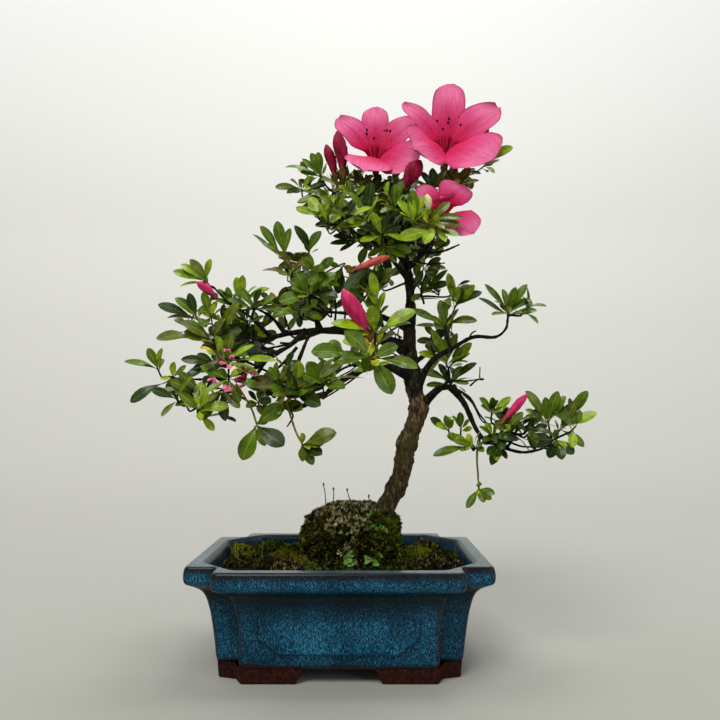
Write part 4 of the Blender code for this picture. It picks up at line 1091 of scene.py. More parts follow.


# Sprays seen in the photograph, by mass: pixel of the node, depth y, tint, and the pixels of the leaf tips.
# Tint 0 is the darker green that paints shade
SPRAYS = {
    "left_tip_leaves": [
        ((157, 367), -46, 1, [(124, 361), (148, 348), (162, 348)]),
        ((172, 376), -50, 1, [(130, 402), (186, 366)]),
    ],
    "left_top_leaves": [
        ((206, 281), -41, 2, [(173, 271), (211, 259), (190, 259), (181, 264), (180, 287)]),
    ],
    "left_shoulder_leaves": [
        ((196, 316), -44, 1, [(158, 304), (189, 293), (167, 319), (175, 298), (214, 298), (207, 327)]),
        ((211, 316), -48, 1, [(203, 292), (217, 301), (202, 311), (222, 310), (204, 326)]),
        ((217, 355), -75, 6, [(200, 348)]),
        ((213, 339), -50, 3, [(156, 338), (182, 321), (239, 303), (184, 331), (226, 318), (242, 330)]),
        ((222, 322), -36, 0, [(204, 312), (238, 316), (212, 334), (238, 332), (224, 304)]),
    ],
    "left_crest_leaves": [
        ((232, 306), -32, 1, [(218, 289), (227, 287), (215, 300), (240, 291)]),
        ((253, 307), -34, 1, [(226, 300), (240, 287), (261, 289), (276, 297), (222, 312), (283, 310)]),
        ((247, 322), -36, 0, [(236, 309), (250, 307), (264, 316), (232, 316)]),
        ((241, 300), -30, 2, [(222, 291), (236, 277), (243, 275), (257, 287), (270, 289)]),
    ],
    "left_middle_leaves": [
        ((213, 363), -48, 0, [(181, 359), (192, 369), (186, 378), (197, 354)]),
        ((227, 358), -56, 2, [(276, 361), (254, 345), (215, 336), (200, 372), (258, 376), (232, 333)]),
        ((229, 378), -58, 1, [(200, 366), (250, 366), (262, 388), (206, 392), (240, 402)]),
        ((232, 350), -42, 0, [(214, 342), (250, 342), (222, 362), (248, 356)]),
        ((212, 372), -44, 0, [(194, 366), (226, 382), (204, 384), (222, 364)]),
        ((284, 366), -46, 0, [(294, 352), (300, 362), (274, 356)]),
    ],
    "left_under_leaves": [
        ((201, 395), -53, 3, [(158, 391), (175, 406), (170, 380), (193, 408), (215, 376), (178, 372)]),
        ((258, 402), -52, 1, [(248, 391), (246, 408), (262, 415), (271, 402), (264, 390)]),
        ((222, 391), -57, 3, [(199, 417), (225, 421), (202, 420), (240, 408), (205, 404)]),
        ((257, 425), -60, 1, [(242, 460), (284, 446), (265, 446), (283, 404)]),
    ],
    "upper_left_leaves": [
        ((284, 257), -22, 1, [(260, 226), (277, 221), (252, 235), (262, 243), (290, 228)]),
        ((288, 274), 4, 0, [(272, 268), (284, 260), (300, 268), (298, 284)]),
        ((300, 263), -12, 3, [(283, 254), (297, 252), (312, 269), (278, 268), (296, 276)]),
        ((318, 286), -12, 0, [(300, 278), (322, 272), (334, 282), (330, 296), (306, 294)]),
        ((309, 253), -26, 1, [(295, 225), (321, 231), (301, 240)]),
        ((309, 293), -34, 1, [(279, 301), (337, 274), (296, 273), (322, 264), (291, 288), (338, 298)]),
        ((341, 268), -20, 1, [(328, 288), (338, 294), (336, 280)]),
        ((292, 272), -30, 4, [(262, 271), (283, 254), (307, 258), (318, 276)]),
        ((299, 312), -24, 1, [(272, 316), (285, 296), (318, 300), (322, 318), (288, 330)]),
        ((330, 308), -16, 0, [(310, 296), (318, 322), (332, 290), (346, 300)]),
    ],
    "front_leaves": [
        ((375, 332), -98, 2, [(331, 323), (415, 310), (371, 305), (378, 313), (411, 323), (352, 331)]),
        ((371, 352), -97, 6, [(364, 338), (374, 339)]),
        ((370, 356), -103, 7, [(311, 352), (333, 362), (418, 368), (392, 394), (345, 330), (398, 346)]),
        ((376, 346), -82, 1, [(342, 342), (366, 372), (396, 334), (360, 312)]),
    ],
    "inner_leaves": [
        ((322, 383), -56, 1, [(289, 398), (307, 362), (325, 360), (303, 375), (336, 372), (345, 389)]),
        ((327, 374), -50, 0, [(306, 366), (318, 358), (343, 364), (338, 385)]),
    ],
    "front_rise_leaves": [
        ((378, 312), -40, 2, [(362, 300), (366, 285), (385, 292), (371, 272)]),
        ((376, 262), -46, 3, [(344, 289)]),
        ((375, 290), -38, 1, [(368, 268), (380, 262), (392, 268), (357, 277), (360, 292)]),
    ],
    "crown_left_leaves": [
        ((321, 175), -14, 1, [(302, 159), (311, 153), (318, 152), (285, 168), (328, 162), (300, 172)]),
        ((302, 189), -16, 3, [(275, 187), (290, 180), (287, 193), (322, 184), (310, 176), (326, 196)]),
        ((330, 200), -18, 3, [(297, 202), (298, 212), (318, 190), (345, 192), (350, 208), (306, 206)]),
        ((342, 226), -22, 2, [(315, 225), (314, 216), (336, 205), (326, 206), (360, 214)]),
        ((344, 188), -22, 4, [(330, 179), (352, 173), (341, 171), (360, 181), (334, 192)]),
    ],
    "crown_front_left_leaves": [
        ((366, 221), -40, 2, [(347, 192), (378, 196), (372, 182), (341, 209), (352, 218), (336, 212)]),
        ((382, 234), -44, 2, [(354, 226), (360, 242), (401, 226), (372, 212), (391, 213), (404, 240)]),
        ((357, 240), -30, 0, [(340, 251), (333, 236), (350, 228), (372, 250), (330, 244)]),
        ((386, 246), -36, 2, [(368, 256), (396, 263), (412, 252), (378, 266), (405, 258)]),
        ((360, 184), -24, 4, [(346, 174), (354, 169), (366, 170), (374, 176)]),
        ((354, 198), -26, 0, [(338, 186), (366, 186), (347, 180), (372, 191), (340, 198)]),
        ((372, 196), -22, 0, [(356, 180), (366, 174), (380, 174), (392, 180), (360, 190)]),
        ((396, 196), -26, 4, [(384, 182), (396, 176), (408, 178), (388, 190), (410, 188)]),
    ],
    "crown_front_leaves": [
        ((413, 222), -58, 2, [(413, 190), (412, 199), (398, 200), (428, 208), (400, 213), (424, 196)]),
        ((432, 220), -60, 3, [(450, 202), (463, 217), (461, 226), (419, 208), (455, 236), (444, 230)]),
        ((436, 228), -62, 2, [(398, 239), (459, 236), (424, 244), (446, 242)]),
        ((394, 205), -50, 1, [(402, 180), (386, 190), (410, 195), (380, 204), (395, 184)]),
        ((434, 190), -30, 0, [(420, 172), (432, 168), (446, 170), (424, 184), (450, 184), (414, 180)]),
    ],
    "crown_right_leaves": [
        ((484, 166), -6, 2, [(513, 147), (500, 160), (494, 173)]),
        ((466, 172), -14, 0, [(488, 126), (472, 189), (452, 182), (481, 174)]),
        ((450, 184), -12, 0, [(430, 176), (440, 194), (462, 196), (472, 186)]),
        ((456, 186), -24, 4, [(440, 167), (452, 163), (470, 167), (479, 180), (438, 180), (462, 172)]),
        ((446, 182), -22, 4, [(430, 170), (442, 164), (456, 166), (466, 172), (434, 186), (470, 184)]),
    ],
    "right_upper_leaves": [
        ((422, 291), 2, 1, [(449, 283), (440, 262), (428, 280), (404, 276), (448, 270), (412, 301)]),
        ((424, 268), 0, 0, [(441, 258), (446, 268), (408, 256), (432, 280), (416, 284)]),
    ],
    "right_spur_leaves": [
        ((456, 305), -8, 2, [(448, 273), (475, 285), (482, 292), (458, 286), (463, 288), (470, 300)]),
        ((445, 325), -12, 1, [(412, 310), (416, 325), (440, 300), (459, 309), (477, 320), (428, 316)]),
    ],
    "right_tip_leaves": [
        ((508, 312), -10, 1, [
            (485, 284), (478, 299), (492, 316), (502, 289), (527, 284), (531, 299), (537, 311), (516, 287),
        ]),
    ],
    "right_middle_leaves": [
        ((446, 362), 0, 2, [(431, 329), (457, 333), (426, 340), (440, 338), (419, 352), (466, 352)]),
        ((450, 381), 4, 1, [(426, 386), (419, 370), (477, 363), (438, 364), (469, 384), (462, 366)]),
        ((452, 364), 2, 1, [(472, 343), (470, 353), (468, 362), (462, 347)]),
    ],
    "right_inner_leaves": [
        ((448, 429), -28, 1, [(430, 418), (445, 415), (436, 424), (454, 420)]),
        ((461, 428), -24, 1, [(460, 412), (452, 417), (470, 420)]),
        ((473, 445), -30, 1, [(447, 436), (433, 456), (454, 442), (460, 451), (480, 432), (484, 452)]),
        ((479, 489), -26, 1, [(466, 508), (495, 494), (484, 503)]),
    ],
    "right_near_leaves": [
        ((492, 412), -32, 1, [(479, 398), (492, 397), (511, 397), (481, 406), (502, 408), (497, 400)]),
        ((492, 434), -34, 1, [(479, 427), (486, 422), (498, 424), (484, 441)]),
        ((499, 446), -34, 0, [(507, 459), (487, 455), (496, 461)]),
        ((505, 432), -36, 0, [(523, 412), (491, 440), (491, 465), (516, 426), (482, 444), (500, 450)]),
    ],
    "right_far_leaves": [
        ((548, 421), -26, 1, [(525, 391), (558, 391), (525, 410), (545, 397), (566, 396), (530, 420)]),
        ((561, 428), -22, 1, [(588, 391), (578, 412), (597, 413), (584, 447), (576, 400), (568, 404)]),
        ((556, 440), -26, 0, [(574, 454), (562, 460), (549, 458), (534, 440), (566, 450)]),
    ],
    "inner_hang_leaves": [
        ((303, 445), -64, 3, [(337, 433), (313, 465), (322, 455), (302, 462), (326, 441)]),
    ],
}

# Sprays whose leaves are broader
BROAD_SPRAYS = [
    (257, 425), (303, 445), (375, 332), (370, 356), (376, 346), (322, 383), (327, 374), (309, 253),
    (309, 293), (300, 263), (376, 262), (556, 440), (213, 339),
]
BROADER = 1.45

# Long bare shoots: depth y and the pixels they run through
STEMS = [
    (-60, [(236, 384), (244, 396), (252, 410), (257, 425)]),
    (-64, [(286, 401), (290, 414), (296, 432), (303, 445)]),
    (-38, [(388, 253), (380, 238), (374, 229), (366, 221)]),
    (-56, [(416, 248), (415, 236), (413, 222)]),
    (-46, [(376, 296), (364, 289), (354, 280), (349, 271.5)]),
    (-97, [(371, 354), (379, 343), (388, 333), (397, 327)]),
    (-26, [(478, 440), (477, 458), (478, 474), (479, 489)]),
]
STEM_RADII = (0.8, 0.65)

# What leaves keep off, by the depth y that they stay behind: pixel and reach in pixels.
# ALWAYS lies behind the whole plant
ALWAYS = 99
KEPT_OPEN = {
    ALWAYS: [
        (490, 190, 22), (482, 208, 12), (500, 172, 10), (328, 240, 9), (340, 247, 9), (316, 247, 8),
        (470, 266, 9), (476, 320, 9), (486, 345, 13), (488, 368, 9), (424, 318, 6), (440, 345, 5),
        (298, 340, 7), (318, 340, 7), (306, 372, 6), (392, 298, 9), (399, 284, 5), (132, 346, 10),
        (136, 376, 9), (150, 409, 9), (120, 385, 9), (176, 352, 7), (176, 404, 6), (160, 321, 12),
        (178, 314, 5), (168, 346, 9), (188, 347, 8), (172, 418, 9), (183, 420, 8), (224, 276, 9),
        (240, 271, 9), (253, 280, 7), (172, 366, 6), (276, 285, 9), (266, 282, 7), (284, 165, 7),
        (296, 156, 6), (289, 178, 6), (304, 223, 9), (314, 234, 7), (342, 241, 8), (468, 184, 8),
        (445, 279, 6), (447, 296, 6), (462, 338, 9), (426, 354, 7), (433, 388, 6), (588, 425, 8),
        (590, 437, 7), (446, 441, 6), (541, 304, 5), (536, 318, 5), (461, 261, 12), (475, 268, 11),
        (453, 252, 9), (470, 250, 13),
    ],
    20: [(447, 125, 36), (376, 140, 32), (418, 395, 20), (415, 430, 26)],
    10: [(333, 152, 20)],
    8: [(408, 285, 13), (409, 310, 13), (411, 335, 14), (414, 365, 16)],
    0: [(455, 205, 26), (478, 224, 12), (412, 172, 12), (520, 402, 14)],
    -20: [
        (356, 312, 16), (290, 333, 7), (345, 335, 7), (330, 333, 7), (350, 270, 9), (362, 266, 10),
        (376, 260, 9),
    ],
}

# Leaves: sizes in millimetres, and the blade's outline as shares of its length and half width
LEAF_LENGTH = 21
LEAF_WIDTH_SHARE = 0.37
LEAF_OUTLINE = [
    (0, 0.07), (0.12, 0.15), (0.27, 0.44), (0.44, 0.82), (0.59, 1), (0.74, 0.97), (0.87, 0.74),
    (0.95, 0.43), (1, 0.04),
]
FOLD = (0.1, 0.3)
ARCH = (0.02, 0.12)
TWIST = (-0.35, 0.35)
WAVE = (-0.03, 0.03)
RIB_HALF = 0.28
RIB_SINK = 0.12
LONGEST_LEAF = 25
STALK_SAG = 0.06
LEAF_STALK_RADII = (0.5, 0.48, 0.45)

# Rosettes: how many leaves, and by how many degrees they lean from the shoot, the lowest leaf most
LEAVES_PER_SHOOT = 7
LEAVES_PER_HEART = 5
LEAN_LOWEST = 88
LEAN_SPAN = 52
LEAN_PLAY = 12

# Shoots and twigs: sizes and distances in millimetres, and shares
SHOOT_LENGTH = 8
SHOOT_CLEARANCE = (0, 6, 14)
SHOOT_MARGIN = 10
SHOOT_DROP = 3
LIGHT_PULL = 0.7
LIGHT_PARTING = 20
SPACE_SLACK = 1.3
DEEP_INSIDE = 0.45
FILL = 3.2
SPRAY_ROOM = 15
TWIG_REACH = 75
STEM_ROOM = 4
TWIG_BASE = 1.0
TWIG_TIP = 0.55
YOUNG_BELOW = 0.8

# Leaf colours as name, blade and rib, their numbers, and how the shoots are dealt them. The darkest green
# is a darker copy of the leaf green that paints shade: shoots deep inside a mass get it most, low shoots
# often, high shoots never, and high shoots get more of the lighter fresh green
TINTS = [
    ("leaf_deep", (42, 62, 6), (80, 98, 26)),
    ("leaf_mid", (80, 107, 8), (122, 143, 36)),
    ("leaf_fresh", (126, 153, 12), (164, 183, 50)),
    ("leaf_olive", (86, 100, 14), (126, 132, 42)),
    ("leaf_brown", (86, 78, 20), (124, 112, 44)),
    ("leaf_young", (150, 162, 24), (180, 186, 64)),
    ("leaf_yellow", (206, 176, 40), (220, 192, 84)),
    ("leaf_spotted", (76, 104, 10), (118, 138, 38)),
]
SHADED_GREEN, MIDDLE, FRESH, DULL, BROWN, YOUNG, YELLOW, SPOTTED = range(8)
DEALT_SHADED_INSIDE = (SHADED_GREEN, SHADED_GREEN, MIDDLE)
DEALT_LOW = (SHADED_GREEN, SHADED_GREEN, SHADED_GREEN, MIDDLE, MIDDLE, MIDDLE, FRESH, DULL, BROWN)
DEALT_HIGH = (MIDDLE, FRESH, FRESH, DULL)
HIGH_FROM = 300
TINT_KEPT = 0.6
TINT_KEPT_BY_SHOOTS = 0.8


def leaf_paint(name, colour):
    """A leaf's blade: one tint with faint clouding, smooth and a little glossy. Some have brown spots."""
    paint = Paint(name, colour, 0.4, 0.2, Coat_Weight=0.12, Coat_Roughness=0.1)
    stops = (0.36, scaled(colour, 0.6)), (0.5, colour), (0.66, scaled(colour, 1.3))
    body = paint.ramp(paint.noise(6), *stops)
    if name == "leaf_spotted":
        body = paint.mix(paint.span(paint.noise(3, 4), 0.6, 0.68), body, srgb(92, 52, 22))
    paint.colour(body)
    paint.bump(paint.noise(2.2, 2), 0.3, 0.6)
    return paint.material


def add_leaf(bm, base, tip, facing, width, slot, rng):
    """A leaf from stalk to tip: folded along the midrib, arched, with a pale rib in the next slot."""
    along = tip - base
    length = along.length
    along.normalize()
    across = along.cross(facing).normalized()
    normal = across.cross(along)
    fold, arch, twist, wave = (rng.uniform(*span) for span in (FOLD, ARCH, TWIST, WAVE))
    rows = []
    for t, share in LEAF_OUTLINE:
        bow = 4 * t * (1 - t) * arch * length
        spine = base + along * length * t + normal * (bow + wave * length * math.sin(5 * t))
        out = turned(across, along, twist * t)
        up = out.cross(along)
        half = width * share
        rib = min(half * 0.5, RIB_HALF * (1 - 0.6 * t) + 0.06)
        row = []
        for reach in (-half, -half * 0.52, -rib, rib, half * 0.52, half):
            rise = fold * abs(reach) * (1 - 0.35 * abs(reach) / max(width, 0.1))
            if abs(reach) == rib:
                rise -= RIB_SINK
            row.append(bm.verts.new(spine + out * reach + up * rise))
        rows.append(row)
    strips = len(rows[0]) - 1
    for face in bridge(bm, rows, slot, closed=False)[strips // 2::strips]:
        face.material_index = slot + 1


def stem_start(name, lines):
    """The point where a mass's stem meets its limb, and the way it sets off."""
    mass = MASSES[name]
    line, _ = lines[mass.limb]
    centre = Vector(mass.centre)
    onwards = (line[-1] - line[-2]).normalized()
    near = min(range(len(line)), key=lambda k: (line[k] + UP * 12 - centre).length)
    if mass.limb != "trunk" or near == len(line) - 1:
        return line[-1], onwards
    along = (line[near + 1] - line[near]).normalized()
    out = centre - line[near]
    out = (out - along * out.dot(along)).normalized()
    return line[near], out


def bend(start, way, tip, axis):
    """A twig's line: it leaves start along way, curves round, and runs straight to its tip along axis."""
    neck = tip - axis * min(SHOOT_LENGTH, (tip - start).length / 2)
    reach = (neck - start).length / 4
    a, b, c, d = start, start + way * reach, neck - axis * reach, neck
    line = []
    for k in range(5):
        t = k / 4
        line.append(a * (1 - t) ** 3 + 3 * b * t * (1 - t) ** 2 + 3 * c * t**2 * (1 - t) + d * t**3)
    return [*line, tip]


def branch(start, way, ends):
    """The twigs of a mass, each from the nearest free place of those before it to its end."""
    nodes = [(start, 0, way)]
    twigs = []
    for place, axis, young in sorted(ends, key=lambda end: (end[0] - start).length):
        origin, run, onwards = min(nodes, key=lambda node: (place - node[0]).length + 0.4 * node[1])
        base = max(TWIG_TIP, TWIG_BASE * (1 - 0.012 * run))
        first = (onwards * 0.35 + (place - origin).normalized()).normalized()
        line = bend(origin, first, place, axis)
        for a, b in zip(line, line[1:-1]):
            steps = max(1, math.ceil((b - a).length / 3))
            for k in range(1, steps + 1):
                nodes.append((a.lerp(b, k / steps), run + (b - a).length * k / steps, (b - a).normalized()))
            run += (b - a).length
        twigs.append((line, base, young))
    return twigs


def shoot_tips(name, count):
    """Where the shoots of a mass end and which way they point: a golden spiral over an inner ellipsoid."""
    mass = MASSES[name]
    rng = random.Random(name)
    turn = rng.uniform(0, math.tau)
    inner = [max(0, h - SHOOT_MARGIN) for h in mass.half]
    light = Vector((0, LIGHT_PULL if mass.centre[1] > LIGHT_PARTING else -LIGHT_PULL, 0))
    tips = []
    for k in range(count):
        way = on_sphere(turn + k * GOLDEN_ANGLE, 0.95 - 1.5 * (k + 0.5) / count)
        depth = rng.uniform(0.85, 1.12) if k % 4 else rng.uniform(0.3, 0.6)
        place = Vector(mass.centre) + Vector([w * i for w, i in zip(way, inner)]) * depth
        place.z -= SHOOT_DROP
        axis = Vector((way.x, way.y, way.z * 0.4)) * 0.75 + UP * rng.uniform(0.6, 0.9) + light
        tips.append((place, axis.normalized()))
    return tips


def in_the_way(place):
    """True if a leaf there would cover what the photograph shows open: blossom, bare trunk or sky."""
    u, v = pixel_of(place)
    for depth, spots in KEPT_OPEN.items():
        if place.y < depth and any(math.hypot(u - x, v - y) < reach for x, y, reach in spots):
            return True
    return False


def inside_space(name, place, slack=SPACE_SLACK):
    """True if a place lies in the mass's ellipsoid, with a little slack."""
    mass = MASSES[name]
    off = place - Vector(mass.centre)
    return math.hypot(*(d / h for d, h in zip(off, mass.half))) < slack


def rosette(rng, tip, axis, count=LEAVES_PER_SHOOT):
    """The leaves round a shoot as base, tip and facing: long and spread below, short and upright above."""
    side = axis.orthogonal().normalized()
    turn = rng.uniform(0, math.tau)
    leaves = []
    for k in range(count):
        share = k / (count - 1)
        out = turned(side, axis, turn + k * GOLDEN_ANGLE)
        lean = math.radians(LEAN_LOWEST - LEAN_SPAN * share + rng.uniform(-LEAN_PLAY, LEAN_PLAY))
        along = axis * math.cos(lean) + out * math.sin(lean)
        length = LEAF_LENGTH * (1.1 - 0.45 * share) * rng.uniform(0.8, 1.15)
        base = tip - axis * (0.5 + SHOOT_LENGTH * (1 - share) ** 1.5) + out * 0.4
        facing = axis * math.sin(lean) - out * math.cos(lean) + side * rng.uniform(-0.3, 0.3)
        leaves.append((base, base + along * length, facing))
    return leaves


def seen_leaf(base, pixel, rng):
    """The place of a leaf's tip on the ray of its pixel, so that the leaf has its full length."""
    depth = base.y
    for _ in range(3):
        flat = (seen(pixel, base.y) - base).length
        length = max(LEAF_LENGTH * rng.uniform(0.6, 0.9), flat * 1.03)
        depth = base.y - math.sqrt(max(0, length**2 - flat**2)) * 0.85
    return seen(pixel, depth)


def dress_spray(leaves, twigs, spray, rng):
    """The leaves of a spray that the photograph shows, the far ones on stalks, and its young heart."""
    node, axis, tint, tips, broad = spray
    for pixel in tips:
        out = (seen(pixel, node.y) - node).normalized()
        base = node + out * 0.5 - axis * rng.uniform(0, 3)
        spare = (seen(pixel, node.y) - base).length - LONGEST_LEAF
        if spare > 0:
            stalk = [base, base + out * spare * 0.5 - UP * spare * STALK_SAG, base + out * spare]
            sweep(twigs, stalk, LEAF_STALK_RADII, 5, 1, close=False)
            base = stalk[-1]
        tip = seen_leaf(base, pixel, rng)
        facing = axis * 0.5 + TO_VIEWER * rng.uniform(0.4, 0.9) + UP * rng.uniform(0.2, 0.6)
        keeps_tint = rng.random() < (1 if tint in (YELLOW, SPOTTED) else TINT_KEPT)
        # the darkest green dealt here paints shade
        shade = tint if keeps_tint else rng.choice((SHADED_GREEN, SHADED_GREEN, MIDDLE, FRESH, DULL))
        width = min((tip - base).length, LEAF_LENGTH) * LEAF_WIDTH_SHARE * rng.uniform(0.42, 0.56)
        add_leaf(leaves, base, tip, facing, width * (BROADER if broad else 1), 2 * shade, rng)
    for base, tip, facing in rosette(rng, node, axis, LEAVES_PER_HEART)[2:]:
        shade = rng.choice((MIDDLE, FRESH, YOUNG))
        add_leaf(leaves, base, base.lerp(tip, 0.6), facing, (tip - base).length * 0.15, 2 * shade, rng)


def dress_shoot(leaves, name, place, axis, rng):
    """The rosette of a shoot beside or behind the sprays, without the leaves that would be in the way."""
    # shoots deep inside a mass get mostly the darker green that paints shade
    dealt = DEALT_SHADED_INSIDE
    if not inside_space(name, place, DEEP_INSIDE):
        dealt = DEALT_LOW if place.z < HIGH_FROM else DEALT_HIGH
    tint = rng.choice(dealt)
    for base, tip, facing in rosette(rng, place, axis):
        if not inside_space(name, tip):
            tip = base.lerp(tip, 0.75)
        if in_the_way(tip) or in_the_way(base.lerp(tip, 0.5)):
            continue
        keeps_tint = rng.random() < TINT_KEPT_BY_SHOOTS
        # the darkest green dealt here paints shade
        shade = tint if keeps_tint else rng.choice((SHADED_GREEN, MIDDLE, FRESH, DULL))
        width = (tip - base).length * LEAF_WIDTH_SHARE * rng.uniform(0.44, 0.58)
        add_leaf(leaves, base, tip, facing, width, 2 * shade, rng)


def make_foliage(lines):
    """Twigs and leaves of every mass: the sprays in the photograph, and shoots beside and behind them."""
    leaves = bmesh.new()
    twigs = bmesh.new()
    hung = [seen(pixels[-1], depth) for depth, pixels in STEMS]
    for name, mass in MASSES.items():
        rng = random.Random(name + " twigs")
        sprays = []
        for pixel, depth, tint, tips in SPRAYS.get(name, ()):
            node = seen(pixel, depth)
            spread = [(seen_leaf(node, tip, rng) - node).normalized() for tip in tips]
            axis = (sum(spread, Vector()) / len(spread) + UP * 0.4 + TO_VIEWER * 0.25).normalized()
            sprays.append((node, axis, tint, tips, pixel in BROAD_SPRAYS))
        start, way = stem_start(name, lines)
        ends = []
        for node, axis, *_ in sprays:
            on_stem = any((node - foot).length <= STEM_ROOM for foot in hung)
            if (node - start).length < TWIG_REACH and not on_stem:
                ends.append((node, axis, True))
        shoots = []
        for place, axis in shoot_tips(name, round(mass.shoots * FILL) + 1):
            clear = not any(in_the_way(place + axis * reach) for reach in SHOOT_CLEARANCE)
            if clear and all((place - node).length > SPRAY_ROOM for node, *_ in sprays):
                shoots.append((place, axis))
                ends.append((place, axis, rng.random() < 0.5))
        for line, base, young in branch(start, way, ends):
            grown = smooth_line(line, 2)
            slot = 1 if young and base < YOUNG_BELOW else 0
            sweep(twigs, grown, taper(grown, base, TWIG_TIP), 6, slot, close=False)
        for spray in sprays:
            dress_spray(leaves, twigs, spray, rng)
        for place, axis in shoots:
            dress_shoot(leaves, name, place, axis, rng)
    for depth, pixels in STEMS:
        stick(twigs, [seen(pixel, depth) for pixel in pixels], 5, STEM_RADII, 7, 1)
    tinted = []
    for name, blade, rib in TINTS:
        tinted += [leaf_paint(name, srgb(*blade)), leaf_paint(name + "_rib", srgb(*rib))]
    add_piece("leaves", leaves, tinted, list(MASSES))
    add_piece("twigs", twigs, [bark_paint("twig_old"), bark_paint("twig_young")])


# Open flowers: throat pixel, depth y, facing, how far the lobes' tips stand out of the throat, flower size,
# each petal's tip pixel and width share, upper petals first, then the anthers' pixels
FLOWERS = [
    (
        (445.5, 151.4), -19, (-0.03, -0.87, 0.5), 21, 47,
        [((450, 84), 0.53), ((403, 103), 0.33), ((498, 107), 0.62), ((412, 149), 0.8), ((494, 160), 0.86)],
        [(437.5, 122), (449, 120), (448, 124), (460, 126), (443, 130)],
    ),
    (
        (375.3, 160.4), -8, (-0.02, -0.87, 0.5), 17, 42,
        [((375, 107), 0.5), ((338, 118), 0.52), ((415, 119), 0.56), ((364, 172), 0.86), ((417, 164), 0.8)],
        [(367, 131), (366.7, 135), (374, 139.4), (386.6, 131.7), (389.7, 132.3)],
    ),
    (
        (443, 216), -40, (0.1, -0.9, 0.42), 11, 34,
        [((460, 184), 0.74), ((417, 188), 0.5), ((441, 196), 0.6), ((474, 234), 0.66), ((448, 234), 0.4)],
        [],
    ),
]
BACK_FLOWER = (Vector((50, 62, 340)), Vector((0.2, 0.85, 0.4)), 34)
UPPER_PETALS = 3
SEED_STEP = 1.37

# Sizes of tube, funnel, stamens and lobes, in millimetres or as shares
TUBE_LENGTH = 14
STAMEN_ROOT = TUBE_LENGTH * 0.7
STAMEN_RADIUS = 0.42
STIGMA_RADIUS = 0.5
ANTHERS_OUT = 0.42
POD_STEPS = (-0.3, 0.2, 1.0, 1.8, 2.1)
POD_RADII = (0.25, 0.75, 0.85, 0.7, 0.2)
FUNNEL_DEPTH = 8
FUNNEL_RADIUS = 6.5
LOBE_NECK = 0.5
LOBE_SPREAD = 0.8
LOBE_WIDEST = 0.56
LOBE_ROWS = 22
NOTCH = 0.028
DROOP_FACING = Vector((0, -1, 0.12))
PETAL_ACROSS = 16

# Colours of the small parts: name, dark, light, then cloud size and roughness where they aren't the usual
BLOSSOM_TINTS = [
    ("filament", (214, 44, 100), (236, 96, 138)),
    ("anther", (26, 6, 18), (64, 20, 44)),
    ("stigma", (190, 20, 60), (220, 60, 90)),
    ("scale_brown", (88, 58, 26), (140, 104, 50)),
    ("bud_crimson", (104, 4, 30), (172, 16, 64), 4, 0.6),
    ("bud_pink", (176, 20, 76), (214, 56, 112), 5, 0.6),
    ("bud_pale", (206, 196, 130), (228, 216, 170), 3),
    ("bud_faded", (196, 70, 70), (222, 112, 96), 4),
    ("scale_green", (120, 150, 40), (166, 184, 80)),
    ("wilted", (84, 6, 34), (132, 16, 60)),
    ("wilted_rib", (70, 6, 28), (110, 16, 50)),
    ("faded", (218, 84, 124), (240, 140, 168)),
    ("faded_rib", (200, 70, 110), (226, 116, 148)),
]
FILAMENT, ANTHER, STIGMA, SCALE_BROWN, CRIMSON, PINK, PALE, FADED, SCALE_GREEN = range(9)
WILTED_TINT, FADED_TINT = 9, 11

# Buds: base pixel, base depth, tip pixel, tip depth, girth and colour
BUDS = [
    ((371, 340), -96, (342, 289), -100, 6.1, PINK),
    ((343.7, 177), -26, (337.4, 130), -30, 6.0, CRIMSON),
    ((336, 180), -22, (326, 144), -26, 4.6, CRIMSON),
    ((401, 190), -34, (421, 160), -38, 7.4, CRIMSON),
    ((428, 214), -56, (427, 194), -56, 3.3, PALE),
    ((348.5, 271.4), -46, (390, 256), -50, 3.2, FADED),
    ((500, 424), -34, (527.5, 394), -32, 3.5, PINK),
    ((217, 298), -47, (197, 282), -48, 3.9, PINK),
]
BACK_BUD = (Vector((-58, 70, 262)), Vector((-66, 82, 284)), 4)
BUD_SIDES = 30
BUD_PETALS = 5
WILTED_PETALS = 6

# Remains of older flowers: pixel, depth y, size and colour
WILTED = [
    ((248, 372), -74, 8, WILTED_TINT), ((227, 350), -74, 3.4, FADED_TINT), ((231, 355), -74, 3, FADED_TINT),
    ((227, 364), -74, 6, FADED_TINT), ((212, 378), -72, 4.6, FADED_TINT), ((228, 386), -74, 5, FADED_TINT),
    ((240, 385), -72, 3, FADED_TINT), ((240, 376), -75, 6, WILTED_TINT),
    ((371, 350), -96, 2.4, WILTED_TINT),
]


def petal_paint():
    """Pink petal: deeper towards the throat, with fine veins, a dark rim and specks on the upper petals."""
    paint = Paint("petal_pink", srgb(222, 80, 130), 0.65, 0.15)
    blade = paint.attribute("blade", "Vector")
    veins = paint.add("ShaderNodeTexNoise", Vector=paint.mapped(blade, (12, 0.9, 1)), Scale=1.6, Detail=4)
    veins = veins.outputs["Fac"]
    shallow, middle = (0, srgb(220, 104, 150)), (0.3, srgb(214, 74, 128))
    deeper, deepest = (0.62, srgb(208, 20, 88)), (1, srgb(188, 10, 68))
    body = paint.ramp(paint.attribute("throat"), shallow, middle, deeper, deepest)
    body = paint.mix(paint.span(veins, 0.42, 0.95), body, srgb(168, 18, 74))
    dots = paint.add("ShaderNodeTexVoronoi", Vector=paint.mapped(blade, (10, 13, 1)), Scale=1.5)
    specks = paint.span(dots.outputs["Distance"], 0.42, 0.3)
    body = paint.mix(paint.maths("MULTIPLY", specks, paint.attribute("speck")), body, srgb(116, 0, 36))
    paint.colour(paint.mix(paint.attribute("rim"), body, srgb(156, 16, 66)))
    paint.bump(veins, 0.25, 0.5)
    paint.bump(paint.noise(0.9, 2), 0.08, 0.4)
    return paint.material


